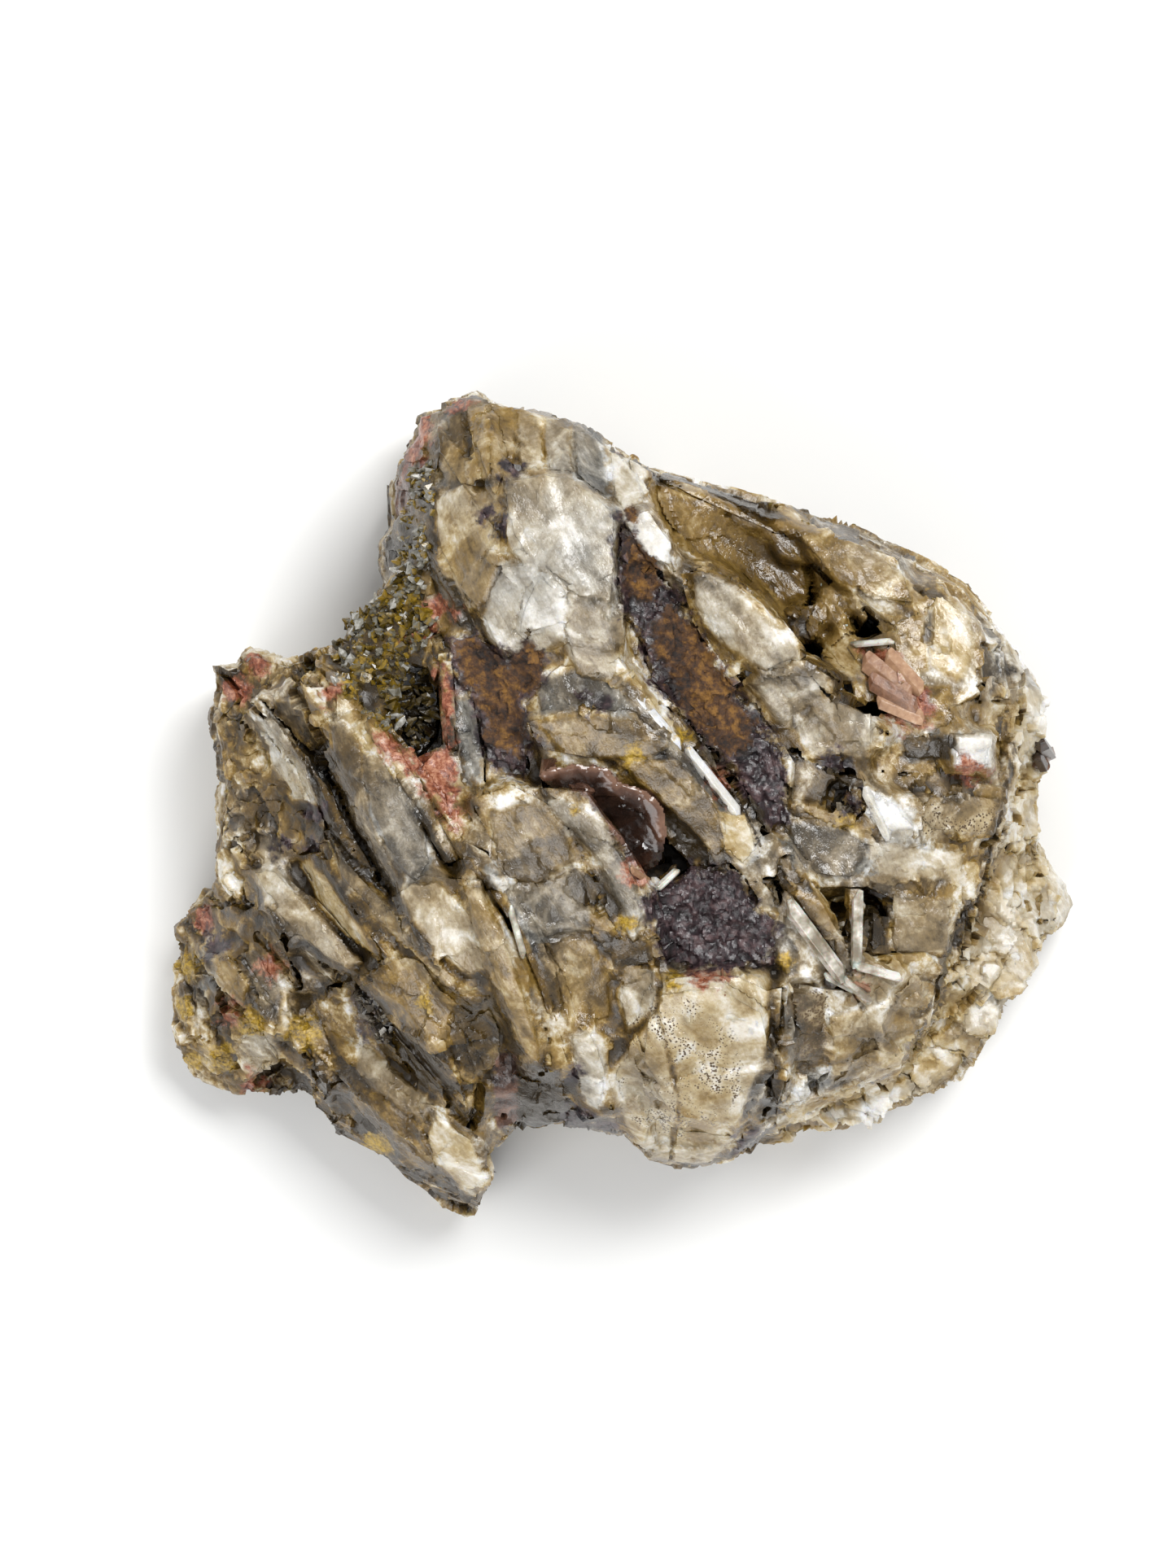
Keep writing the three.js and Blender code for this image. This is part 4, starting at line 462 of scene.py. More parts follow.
def polygon_distance(u, v, outline):
    """Distance in millimetres to the outline, positive inside it."""
    corners = np.array(outline, dtype=float)
    best = np.full(u.shape, 1e9)
    inside = np.zeros(u.shape, dtype=bool)
    for (au, av), (bu, bv) in zip(corners, np.roll(corners, -1, axis=0)):
        du, dv = bu - au, bv - av
        t = np.clip(((u - au) * du + (v - av) * dv) / (du * du + dv * dv), 0, 1)
        best = np.minimum(best, np.hypot(u - au - t * du, v - av - t * dv))
        crosses = (av > v) != (bv > v)
        with np.errstate(divide="ignore", invalid="ignore"):
            inside ^= crosses & (u < au + (v - av) * du / dv)
    return np.where(inside, best, -best)


FIELD_REACH = 6.0  # mm, no field is worked out further than this outside its patches


def patch_field(u, v, patches):
    """The deepest that each point lies inside any of the patches, in millimetres."""
    field = np.full(u.shape, -FIELD_REACH)
    for patch in patches:
        if isinstance(patch, tuple):
            field = np.maximum(field, patch[2] - np.hypot(u - patch[0], v - patch[1]))
            continue
        left, top = np.min(patch, axis=0) - FIELD_REACH
        right, bottom = np.max(patch, axis=0) + FIELD_REACH
        near = (u > left) & (u < right) & (v > top) & (v < bottom)
        field[near] = np.maximum(field[near], polygon_distance(u[near], v[near], patch))
    return field


# ---------------------------------------------------------------- mesh helpers

def alone(obj):
    """Selects this object and nothing else, in object mode."""
    if bpy.context.mode != "OBJECT":
        bpy.ops.object.mode_set(mode="OBJECT")
    bpy.ops.object.select_all(action="DESELECT")
    obj.select_set(True)
    bpy.context.view_layer.objects.active = obj


def applied(obj, modifier):
    """Applies a modifier to its object."""
    alone(obj)
    bpy.ops.object.modifier_apply(modifier=modifier.name)


def placed(name, mesh):
    """A new object in the scene with this mesh."""
    made = bpy.data.objects.new(name, mesh)
    bpy.context.scene.collection.objects.link(made)
    return made


def copy_of(source, name):
    """A new object with its own copy of a mesh, its doubled corners merged."""
    made = placed(name, source.data.copy())
    made.data.materials.clear()
    alone(made)
    bpy.ops.object.mode_set(mode="EDIT")
    bpy.ops.mesh.select_all(action="SELECT")
    bpy.ops.mesh.remove_doubles(threshold=2e-6)
    bpy.ops.object.mode_set(mode="OBJECT")
    return made


def prism_block(name, outline):
    """A tall block over an outline on the plan: one face, extruded up."""
    mesh = bpy.data.meshes.new(name)
    mesh.from_pydata([at(u, v, -8) for u, v in outline], [], [list(range(len(outline)))])
    block = placed(name, mesh)
    alone(block)
    bpy.ops.object.mode_set(mode="EDIT")
    bpy.ops.mesh.select_all(action="SELECT")
    bpy.ops.mesh.extrude_region_move(TRANSFORM_OT_translate={"value": (0, 0, 0.075)})
    bpy.ops.mesh.select_all(action="SELECT")
    bpy.ops.mesh.normals_make_consistent(inside=False)
    bpy.ops.object.mode_set(mode="OBJECT")
    return block


def coordinates(mesh):
    """The places of a mesh's vertices in metres, one row each."""
    points = np.empty(len(mesh.vertices) * 3)
    mesh.vertices.foreach_get("co", points)
    return points.reshape(-1, 3)


def point_normals(mesh):
    """The directions that a mesh's vertices face, one row each."""
    normals = np.empty(len(mesh.vertices) * 3)
    mesh.vertex_normals.foreach_get("vector", normals)
    return normals.reshape(-1, 3)


def store(mesh, name, values):
    """Keeps one number per vertex as a named attribute."""
    layer = mesh.attributes.get(name) or mesh.attributes.new(name, "FLOAT", "POINT")
    layer.data.foreach_set("value", np.asarray(values, dtype=np.float32))


def geometry_group(name):
    """A new geometry node group that takes a mesh and gives one back, and its two end nodes."""
    tree = bpy.data.node_groups.new(name, "GeometryNodeTree")
    for way in ("INPUT", "OUTPUT"):
        tree.interface.new_socket("Geometry", in_out=way, socket_type="NodeSocketGeometry")
    return tree, node(tree, "NodeGroupInput"), node(tree, "NodeGroupOutput")


def worked(obj, tree):
    """Runs a geometry node group on an object and applies it."""
    run = obj.modifiers.new(tree.name, "NODES")
    run.node_group = tree
    applied(obj, run)


def smoothstep(low, high, x):
    """0 at low and beyond it, 1 at high and beyond it, with a soft turn between."""
    t = np.clip((x - low) / (high - low), 0, 1)
    return t * t * (3 - 2 * t)


class SurfaceHeight:
    """The highest point of the specimen over each cell of a plan grid, in millimetres."""
    CELL = 0.4
    SIZE = 400
    SPECK = 0.8  # pits narrower than twice this are left out
    GAP = 1.9  # the widest gap that counts as filled is twice this
    PIT = 4  # and this is the same where whole pits are filled

    def __init__(self, points):
        grid = np.zeros((self.SIZE, self.SIZE))
        i, j = self.cells(points)
        np.maximum.at(grid, (i, j), points[:, 2] / MM)
        self.top = self.spread(grid, np.maximum, self.SPECK)
        self.closed = self.without_gaps(self.GAP)
        wide = self.without_gaps(self.PIT)
        u, v = self.plan()
        filled = np.maximum(patch_field(u, v, FILLED), patch_field(u, v, PATCHES["crust"])) > 0
        self.closed[filled] = wide[filled]
        self.soft = self.blurred(self.closed, 3)
        self.around = self.blurred(self.top, 60)

    def plan(self):
        """The plan coordinates of the middle of each cell."""
        return plan_grid(0, 0, self.SIZE, self.SIZE, self.CELL)

    def without_gaps(self, radius):
        """The heights with the gaps filled that are narrower than twice this radius in millimetres."""
        return self.spread(self.spread(self.top, np.maximum, radius), np.minimum, radius)

    def blurred(self, grid, times):
        """The grid averaged with its neighbouring cells, again and again."""
        for _ in range(times):
            total = sum(np.roll(grid, s, axis=a) for s in (-1, 1) for a in (0, 1))
            grid = (grid + total) / 5
        return grid

    def cells(self, points):
        """The row and column of the cell that each point in metres is over."""
        u, v = plan_of(points)
        last = self.SIZE - 1
        return (v / self.CELL).astype(int).clip(0, last), (u / self.CELL).astype(int).clip(0, last)

    def spread(self, grid, pick, radius):
        """The value that pick takes, highest or lowest, in a round window of this radius in millimetres."""
        steps = int(radius / self.CELL)
        result = grid.copy()
        for i in range(-steps, steps + 1):
            for j in range(-steps, steps + 1):
                if math.hypot(i, j) * self.CELL <= radius:
                    result = pick(result, np.roll(np.roll(grid, i, axis=0), j, axis=1))
        return result

    def read(self, grid, points):
        """The grid's value in the cell that each point in metres is over."""
        i, j = self.cells(points)
        return grid[i, j]

    def between(self, grid, u, v):
        """The height at plan points, drawn straight between the cells."""
        x, y = np.clip(u / self.CELL - 0.5, 0, self.SIZE - 2), np.clip(v / self.CELL - 0.5, 0, self.SIZE - 2)
        i, j = y.astype(int), x.astype(int)
        s, t = y - i, x - j
        near = (1 - t) * grid[i, j] + t * grid[i, j + 1]
        far = (1 - t) * grid[i + 1, j] + t * grid[i + 1, j + 1]
        return (1 - s) * near + s * far


@functools.lru_cache(maxsize=1)
def specimen_heights():
    """The heights of the whole cluster, read once."""
    probe = copy_of(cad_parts[CLUSTER], "probe")
    regridded(probe, 0.45 * MM)
    heights = SurfaceHeight(coordinates(probe.data))
    bpy.data.objects.remove(probe)
    return heights


def smoothed(mesh, values, times):
    """Values averaged with those of neighbouring vertices, again and again."""
    ends = np.empty(len(mesh.edges) * 2, dtype=np.int32)
    mesh.edges.foreach_get("vertices", ends)
    a, b = ends.reshape(-1, 2).T
    count = len(mesh.vertices)
    degree = np.bincount(a, minlength=count) + np.bincount(b, minlength=count)
    values = values.reshape(count, -1).astype(float)
    for _ in range(times):
        total = np.stack([
            np.bincount(a, column[b], count) + np.bincount(b, column[a], count) for column in values.T
        ], axis=1)
        values = 0.5 * values + 0.5 * total / np.maximum(degree, 1)[:, None]
    return values


def uneven(u, v, size, seed, octaves=4):
    """Smooth random values from -1 to 1 over the plan, with features of this size in millimetres."""
    rng = np.random.default_rng(seed)
    total, share, whole = np.zeros(u.shape), 1.0, 0.0
    for _ in range(octaves):
        grid = rng.uniform(-1, 1, (257, 257))
        x, y = u / size % 255, v / size % 255
        i, j = x.astype(int), y.astype(int)
        s, t = smoothstep(0, 1, x - i), smoothstep(0, 1, y - j)
        near = (1 - t) * grid[i, j] + t * grid[i, j + 1]
        far = (1 - t) * grid[i + 1, j] + t * grid[i + 1, j + 1]
        total += share * ((1 - s) * near + s * far)
        whole += share
        share, size = share * 0.62, size / 2
    return total / whole


def face_fields(u, v, heights):
    """How far each plan point is on a clean face, the height of that face, its lightness and its warmth.

    A face is a plane through its rim on the mass, bent towards the mass where it isn't flat.
    """
    share, level = np.zeros(u.shape), np.zeros(u.shape)
    light, warmth = np.full(u.shape, 0.5), np.full(u.shape, 0.5)
    bent_u, bent_v = u + 0.3 * uneven(u, v, 2.5, 31, 3), v + 0.3 * uneven(u, v, 2.5, 32, 3)
    for name, lift, flat, pale, warm, outline in FACES:
        corners = np.array(outline)
        (left, top), (right, bottom) = corners.min(axis=0) - 1, corners.max(axis=0) + 1
        near = np.flatnonzero((u > left) & (u < right) & (v > top) & (v < bottom))
        mine = smoothstep(-0.3, 0.4, polygon_distance(bent_u[near], bent_v[near], outline))
        near, mine = near[mine > share[near]], mine[mine > share[near]]
        middle = corners.mean(axis=0)
        inner = middle + 0.85 * (corners - middle)
        ring = heights.between(heights.soft, *inner.T)
        plane, *_ = np.linalg.lstsq(np.c_[inner, np.ones(len(inner))], ring, rcond=None)
        mass = heights.between(heights.soft, u[near], v[near])
        share[near] = mine
        level[near] = (1 - flat) * mass + flat * (np.c_[u[near], v[near], np.ones(len(near))] @ plane) + lift
        light[near], warmth[near] = pale, warm
    return share, level, light, warmth


def set_faces(mesh, heights):
    """Moves the top of the mass onto the clean crystal faces and keeps their looks as attributes."""
    points = coordinates(mesh)
    u, v = plan_of(points)
    depth = heights.between(heights.top, u, v) - points[:, 2] / MM
    share, level, light, warmth = face_fields(u, v, heights)
    near_top = smoothstep(3.2, 1.4, depth)
    points[:, 2] += share * near_top * (level * MM - points[:, 2])
    mesh.vertices.foreach_set("co", points.ravel())
    mesh.update()
    share = share * smoothstep(7, 4, depth)
    store(mesh, "clean", share)
    store(mesh, "light", light)
    store(mesh, "warmth", warmth)
    return share


def height_sheet(name, u, v, level, shown, thickness, softening):
    """A closed sheet over the shown cells of a plan grid, its top at these heights in millimetres."""
    corners = shown.copy()
    corners[1:] |= shown[:-1]
    corners[:, 1:] |= shown[:, :-1]
    corners[1:, 1:] |= shown[:-1, :-1]
    number = -np.ones(shown.shape, dtype=int)
    number[corners] = np.arange(corners.sum())
    quads = [
        (number[a, b], number[a + 1, b], number[a + 1, b + 1], number[a, b + 1])
        for a, b in zip(*np.nonzero(shown[:-1, :-1]))
    ]
    mesh = bpy.data.meshes.new(name)
    mesh.from_pydata([at(*p) for p in zip(u[corners], v[corners], level[corners])], [], quads)
    sheet = placed(name, mesh)
    alone(sheet)
    bpy.ops.object.mode_set(mode="EDIT")
    bpy.ops.mesh.select_all(action="SELECT")
    bpy.ops.mesh.delete_loose()
    bpy.ops.object.mode_set(mode="OBJECT")
    soft = sheet.modifiers.new("soft", "SMOOTH")
    soft.iterations = softening
    applied(sheet, soft)
    wall = sheet.modifiers.new("depth", "SOLIDIFY")
    wall.thickness = thickness * MM
    wall.offset = -1
    applied(sheet, wall)
    return sheet


# ---------------------------------------------------------------- crystal relief

# Each set of facets: its kind, cell size across the blades and how far the faces stand apart, in
# millimetres, and how much longer a cell is along the blades. The attribute facet_KIND keeps a number
# for each facet, and relief_KIND says how strongly the set works at each vertex.
FACETS = [
    ("large", 8.0, 0.95, 3.0),
    ("middle", 3.2, 0.42, 3.0),
    ("small", 1.3, 0.16, 2.4),
    ("crust", 2.6, 0.45, 1.2),
]
RELIEF_KINDS = ("large", "middle", "small", "crust", "rust")
FABRIC = 1.05  # radians, the direction of most of the blades on the plan
SHARP_EDGE = math.radians(32)


def relief_nodes(name, fabric):
    """Geometry nodes that break a surface into flat facets drawn out along the blades."""
    tree, source, sink = geometry_group(name)
    place = node(tree, "GeometryNodeInputPosition").outputs[0]
    warp = node(tree, "ShaderNodeTexNoise", Vector=place, Scale=0.16 / MM, Detail=2.0).outputs["Color"]
    bend = node(tree, "ShaderNodeVectorMath", {"operation": "MULTIPLY_ADD"},
                i0=warp, i1=(2.5 * MM,) * 3, i2=place).outputs[0]
    turned = node(tree, "ShaderNodeVectorRotate", {"rotation_type": "EULER_XYZ"},
                  Vector=bend, Rotation=(0.35, 0.3, fabric)).outputs[0]
    geometry, total = source.outputs[0], None
    for kind, size, height, length in FACETS:
        drawn = node(tree, "ShaderNodeVectorMath", {"operation": "MULTIPLY"},
                     i0=turned, i1=(1 / (MM * length), 1 / MM, 1 / MM)).outputs[0]
        cell = node(tree, "ShaderNodeTexVoronoi", Vector=drawn, Scale=1 / size)
        tilt = node(tree, "ShaderNodeVectorMath", {"operation": "MULTIPLY_ADD"},
                    i0=cell.outputs["Color"], i1=(2, 2, 2), i2=(-1, -1, -1)).outputs[0]
        away = node(tree, "ShaderNodeVectorMath", {"operation": "SUBTRACT"},
                    i0=drawn, i1=cell.outputs["Position"]).outputs[0]
        slope = node(tree, "ShaderNodeVectorMath", {"operation": "DOT_PRODUCT"},
                     i0=away, i1=tilt).outputs["Value"]
        number = node(tree, "ShaderNodeSeparateXYZ", Vector=cell.outputs["Color"]).outputs[0]
        step = node(tree, "ShaderNodeMath", {"operation": "MULTIPLY_ADD"},
                    i0=number, i1=1.1, i2=-0.55).outputs[0]
        face = node(tree, "ShaderNodeMath", {"operation": "MULTIPLY_ADD"},
                    i0=slope, i1=0.9 / size, i2=step).outputs[0]
        raised = node(tree, "ShaderNodeMath", {"operation": "MULTIPLY"}, i0=face, i1=height * MM).outputs[0]
        mask = node(tree, "GeometryNodeInputNamedAttribute", {"data_type": "FLOAT"}, Name="relief_" + kind)
        raised = node(tree, "ShaderNodeMath", {"operation": "MULTIPLY"},
                      i0=raised, i1=mask.outputs[0]).outputs[0]
        total = raised if total is None else node(tree, "ShaderNodeMath", i0=total, i1=raised).outputs[0]
        keep = node(tree, "GeometryNodeStoreNamedAttribute", {"data_type": "FLOAT", "domain": "POINT"},
                    Geometry=geometry, Name="facet_" + kind, Value=number)
        geometry = keep.outputs[0]
    # Earthy crumble of the iron oxide, about a millimetre across.
    crumb = node(tree, "ShaderNodeTexNoise", Vector=place, Scale=0.9 / MM, Detail=5.0,
                 Roughness=0.68).outputs[0]
    crumb = node(tree, "ShaderNodeMath", {"operation": "MULTIPLY_ADD"},
                 i0=crumb, i1=1.9 * MM, i2=-1.15 * MM).outputs[0]
    earthy = node(tree, "GeometryNodeInputNamedAttribute", {"data_type": "FLOAT"}, Name="relief_rust")
    total = node(tree, "ShaderNodeMath", {"operation": "MULTIPLY_ADD"},
                 i0=crumb, i1=earthy.outputs[0], i2=total).outputs[0]
    normal = node(tree, "GeometryNodeInputNormal").outputs[0]
    offset = node(tree, "ShaderNodeVectorMath", {"operation": "SCALE"}, Vector=normal, Scale=total).outputs[0]
    moved = node(tree, "GeometryNodeSetPosition", Geometry=geometry, Offset=offset).outputs[0]
    tree.links.new(moved, sink.inputs[0])
    return tree


def relief_masks(obj, outline, heights, strength, clean):
    """How strongly each kind of relief works at each vertex: not at all on the hidden inner walls."""
    mesh = obj.data
    points, normals = coordinates(mesh), point_normals(mesh)
    u, v = plan_of(points)
    depth = heights.read(heights.top, points) - points[:, 2] / MM
    upper = smoothstep(9, 4, depth)
    smooth = np.maximum(smoothstep(-0.6, 0.8, patch_field(u, v, PATCHES["smooth"])) * upper, 0.75 * clean)
    crust = smoothstep(-1.2, 1.2, patch_field(u, v, PATCHES["crust"]))
    rust = smoothstep(-0.7, 0.7, np.maximum(patch_field(u, v, PATCHES["rust"]),
                                            patch_field(u, v, PATCHES["purple"]) - 0.3)) * upper
    base = smoothstep(0.25, 1.6, points[:, 2] / MM) * smoothstep(0.05, 0.3, polygon_distance(u, v, outline))
    store(mesh, "relief_large", strength * base * (1 - 0.6 * smooth) * (1 - 0.7 * rust))
    store(mesh, "relief_middle", strength * base * (1 - 0.85 * smooth) * (1 - 0.8 * rust))
    store(mesh, "relief_small", strength * base * (1 - 0.8 * smooth) * (1 - 0.6 * rust))
    store(mesh, "relief_crust", 0.6 * strength * base * np.maximum(crust, 0.35 * (1 - upper)) * (1 - rust))
    earthy = np.maximum(rust * smoothstep(-0.1, 0.4, normals[:, 2]), 0.4 * crust)
    store(mesh, "relief_rust", strength * base * earthy)


# Painted light and shade: the crystals are painted lighter on the sides that face this way, up and towards
# the key light, and darker and warmer on the sides that face away.
LIT_SIDE = (0.52, 0.42, 0.74)


def mineral_fields(obj, heights):
    """Keeps the mineral patches, the grooves, the hollows and the side facing the light as named attributes;
    the last three carry painted light and shade.
    """
    mesh = obj.data
    points, normals = coordinates(mesh), point_normals(mesh)
    u, v = plan_of(points)
    depth = heights.read(heights.top, points) - points[:, 2] / MM
    under = smoothstep(4, 10, depth)
    for name in PATCHES:
        field = np.clip(patch_field(u, v, PATCHES[name]), -4, 4)
        if name != "crust":
            field = field * (1 - under) - 4 * under
        store(mesh, name, field)
    # How far each vertex lies down in a crease; the painted shade in the creases follows it.
    broad = smoothed(mesh, points, 70)
    store(mesh, "groove", np.einsum("ij,ij->i", broad - points, normals) / MM)
    # How deep each vertex lies under the broad top of the mass; the painted shade in the hollows, and the
    # painted light on the honey crystal there, follow it.
    store(mesh, "hollow", (1 - under) * (heights.read(heights.around, points) - points[:, 2] / MM))
    store(mesh, "under", under)
    # Distance to the long grooves; the painted shade along them follows it.
    store(mesh, "seam", np.where(under > 0.5, 9, groove_distance(u, v)))
    # How far each vertex faces the light side; painted light on that side and painted shade on the other
    # follow it. Hidden walls get a middle value.
    facing = smoothed(mesh, normals @ np.array(LIT_SIDE), 12)[:, 0]
    store(mesh, "facing", (1 - 0.8 * under) * facing + 0.45 * under)


def regridded(obj, cell):
    """Cuts the surface anew on a cubic grid that keeps its flat faces and sharp edges."""
    grid = obj.modifiers.new("grid", "REMESH")
    grid.mode = "SHARP"
    grid.octree_depth = 8
    grid.scale = min(0.99, max(obj.dimensions) / (cell * 2 ** grid.octree_depth))
    grid.threshold = 0.3
    applied(obj, grid)


MESH_LOST = 5000  # a stretch with fewer vertices than this wasn't cut right


def crystal_region(name, outline, fabric, heights, settings):
    """One stretch of the cluster, with its crystal relief and its mineral fields."""
    region = copy_of(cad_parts[CLUSTER], name)
    block = prism_block(name + "_block", outline)
    cut = region.modifiers.new("region", "BOOLEAN")
    cut.operation = "INTERSECT"
    cut.solver = "EXACT"
    cut.object = block
    applied(region, cut)
    bpy.data.objects.remove(block)
    regridded(region, settings.grain)
    if len(region.data.vertices) < MESH_LOST:
        raise RuntimeError(f"{name} lost its mesh")
    clean = set_faces(region.data, heights)
    relief_masks(region, outline, heights, settings.relief, clean)
    worked(region, relief_nodes(name + "_relief", fabric))
    mineral_fields(region, heights)
    thin = region.modifiers.new("thin", "DECIMATE")
    thin.ratio = min(1.0, settings.triangles / (2 * len(region.data.polygons)))
    applied(region, thin)
    alone(region)
    bpy.ops.object.shade_smooth_by_angle(angle=SHARP_EDGE)
    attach(region, BODY)
    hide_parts(CLUSTER)
    return region


def finish_crystal(obj, heights, strengths, in_crust=(0, 0, 0, 0, 0)):
    """Gives a smaller piece the same relief and mineral fields as the mass around it, and its place.

    strengths are those of each kind of relief, and in_crust is what the outer crust adds to them.
    """
    mesh = obj.data
    crust = smoothstep(-1, 1, patch_field(*plan_of(coordinates(mesh)), PATCHES["crust"]))
    for kind, strength, more in zip(RELIEF_KINDS, strengths, in_crust):
        store(mesh, "relief_" + kind, strength + more * crust)
    worked(obj, relief_nodes(obj.name + "_relief", FABRIC))
    mineral_fields(obj, heights)
    alone(obj)
    bpy.ops.object.shade_smooth_by_angle(angle=SHARP_EDGE)
    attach(obj, BODY)


# ---------------------------------------------------------------- small crystals

def pointed_seed(name, sides=6, taper=0.8, tip=0.12, shoulder=0.55):
    """A prism of unit width and height with a blunt point, its foot a little under the ground."""
    bpy.ops.object.select_all(action="DESELECT")
    bpy.ops.mesh.primitive_cone_add(vertices=sides, radius1=0.5, radius2=0.5 * taper, depth=shoulder + 0.3,
                                    location=(0, 0, (shoulder - 0.3) / 2))
    seed = bpy.context.object
    seed.name = name
    bpy.ops.object.mode_set(mode="EDIT")
    bpy.ops.mesh.select_all(action="DESELECT")
    bpy.ops.object.mode_set(mode="OBJECT")
    top = max(seed.data.polygons, key=lambda face: face.normal.z)
    top.select = True
    bpy.ops.object.mode_set(mode="EDIT")
    bpy.ops.mesh.select_mode(type="FACE")
    bpy.ops.mesh.extrude_region_move(TRANSFORM_OT_translate={"value": (0.06, 0, 1 - shoulder)})
    bpy.ops.transform.resize(value=(tip, tip * 2, 1))
    bpy.ops.object.mode_set(mode="OBJECT")
    return seed


def chip_seed(name, number):
    """An angular splinter of unit size."""
    bpy.ops.object.select_all(action="DESELECT")
    bpy.ops.mesh.primitive_cube_add(size=1, location=(0, 0, 0))
    seed = bpy.context.object
    seed.name = name
    bpy.ops.object.mode_set(mode="EDIT")
    bpy.ops.mesh.select_all(action="SELECT")
    bpy.ops.transform.vertex_random(offset=0.34, seed=number)
    bpy.ops.mesh.convex_hull()
    bpy.ops.mesh.normals_make_consistent(inside=False)
    bpy.ops.object.mode_set(mode="OBJECT")
    return seed


CELL_KEYS = np.array([1, 100003, 10000600009])  # gives each cell of a spatial grid its own number


def spaced(rng, chosen, points, spacing):
    """Thins a choice of points at random, to about this many millimetres apart."""
    chosen = rng.permutation(chosen)
    cells = np.floor(points[chosen] / (spacing * MM)).astype(np.int64)
    _, first = np.unique(cells @ CELL_KEYS, return_index=True)
    return chosen[np.sort(first)]


DRUSE_REACH = 2.5  # mm, the druse grows no deeper than this below the top of the mass


def surface_places(rng, owners, patches, spacing):
    """Random places on top of these pieces inside the patches, about spacing apart, with their normals."""
    heights = specimen_heights()
    points = np.concatenate([coordinates(owner.data) for owner in owners])
    normals = np.concatenate([point_normals(owner.data) for owner in owners])
    u, v = plan_of(points)
    depth = heights.read(heights.top, points) - points[:, 2] / MM
    fit = (depth < DRUSE_REACH) & (normals[:, 2] > 0) & (patch_field(u, v, patches) > 0)
    chosen = spaced(rng, np.flatnonzero(fit), points, spacing)
    return points[chosen], normals[chosen]


def planted(name, seeds, points, normals, rng, size, lean, sink, material):
    """Many small crystals in one mesh: copies of the seeds stood on the points, with sizes in mm."""
    count = len(points)
    turns = np.empty((count, 3))
    sizes = np.empty((count, 3))
    for i in range(count):
        direction = Vector(normals[i]) + Vector(rng.uniform(-lean, lean, 3))
        spin = Matrix.Rotation(rng.uniform(0, 2 * math.pi), 3, "Z")
        turns[i] = (direction.to_track_quat("Z", "Y").to_matrix() @ spin).to_euler()
        sizes[i] = np.array(size) * MM * rng.uniform(0.6, 1.35)
        sizes[i, 2] *= rng.uniform(0.7, 1.3)
    places = points - normals * (sink * MM)
    pick = rng.integers(0, len(seeds), count)
    tint = rng.uniform(0, 1, count)
    tree, source, last = geometry_group(name + "_planting")
    turn, scale = (
        node(tree, "GeometryNodeInputNamedAttribute", {"data_type": "FLOAT_VECTOR"}, Name=key).outputs[0]
        for key in ("turn", "size"))
    joined = node(tree, "GeometryNodeJoinGeometry")
    for number, seed in enumerate(seeds):
        kind = node(tree, "GeometryNodeInputNamedAttribute", {"data_type": "INT"}, Name="pick").outputs[0]
        mine = node(tree, "FunctionNodeCompare", {"data_type": "INT", "operation": "EQUAL"},
                    i2=kind, i3=number).outputs[0]
        shape = node(tree, "GeometryNodeObjectInfo", Object=seed).outputs["Geometry"]
        stood = node(tree, "GeometryNodeInstanceOnPoints", Points=source.outputs[0], Selection=mine,
                     Instance=shape, Rotation=turn, Scale=scale).outputs[0]
        tree.links.new(stood, joined.inputs[0])
    real = node(tree, "GeometryNodeRealizeInstances", Geometry=joined.outputs[0]).outputs[0]
    tree.links.new(real, last.inputs[0])
    mesh = bpy.data.meshes.new(name)
    mesh.from_pydata([tuple(p) for p in places], [], [])
    for key, kind, values in (("turn", "FLOAT_VECTOR", turns), ("size", "FLOAT_VECTOR", sizes)):
        mesh.attributes.new(key, kind, "POINT").data.foreach_set("vector", values.ravel())
    mesh.attributes.new("pick", "INT", "POINT").data.foreach_set("value", pick.astype(np.int32))
    store(mesh, "tint", tint)
    piece = placed(name, mesh)
    worked(piece, tree)
    if len(piece.data.polygons) < count:
        raise RuntimeError(f"{name} grew no crystals")
    piece.data.materials.clear()
    piece.data.materials.append(material)
    for seed in seeds:
        bpy.data.objects.remove(seed)
    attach(piece, BODY)
    return piece


def grown_fields(piece):
    """Gives small crystals the mineral fields of the place where they grow."""
    mesh = piece.data
    count = len(mesh.vertices)
    tint = np.empty(count, dtype=np.float32)
    mesh.attributes["tint"].data.foreach_get("value", tint)
    mineral_fields(piece, specimen_heights())
    for kind, *_ in FACETS:
        store(mesh, "facet_" + kind, tint)
    store(mesh, "groove", np.zeros(count))


def mass_pieces():
    """The finished stretches of the cluster."""
    return [bpy.data.objects[name] for name, *_ in REGIONS]


# ---------------------------------------------------------------- materials

def principled(name):
    """A new material with one shader, and its tree."""
    material = bpy.data.materials.new(name)
    material.use_nodes = True
    tree = material.node_tree
    tree.nodes.clear()
    shader = node(tree, "ShaderNodeBsdfPrincipled")
    sink = tree.nodes.new("ShaderNodeOutputMaterial")
    tree.links.new(shader.outputs[0], sink.inputs["Surface"])
    return material, tree, shader


# How clear, stained or milky the crystal looks, from dark to white: where it is warm with iron, and
# where it is clean and grey.
WARM_TONES = ["#2E220C", "#5A4419", "#8C7038", "#B7A275", "#D7CDB8", "#EFECE6"]
COOL_TONES = ["#262420", "#524F48", "#878379", "#B0ADA5", "#D4D1CB", "#F1F0EE"]
TONE_SPOTS = [0.10, 0.30, 0.46, 0.60, 0.74, 0.95]

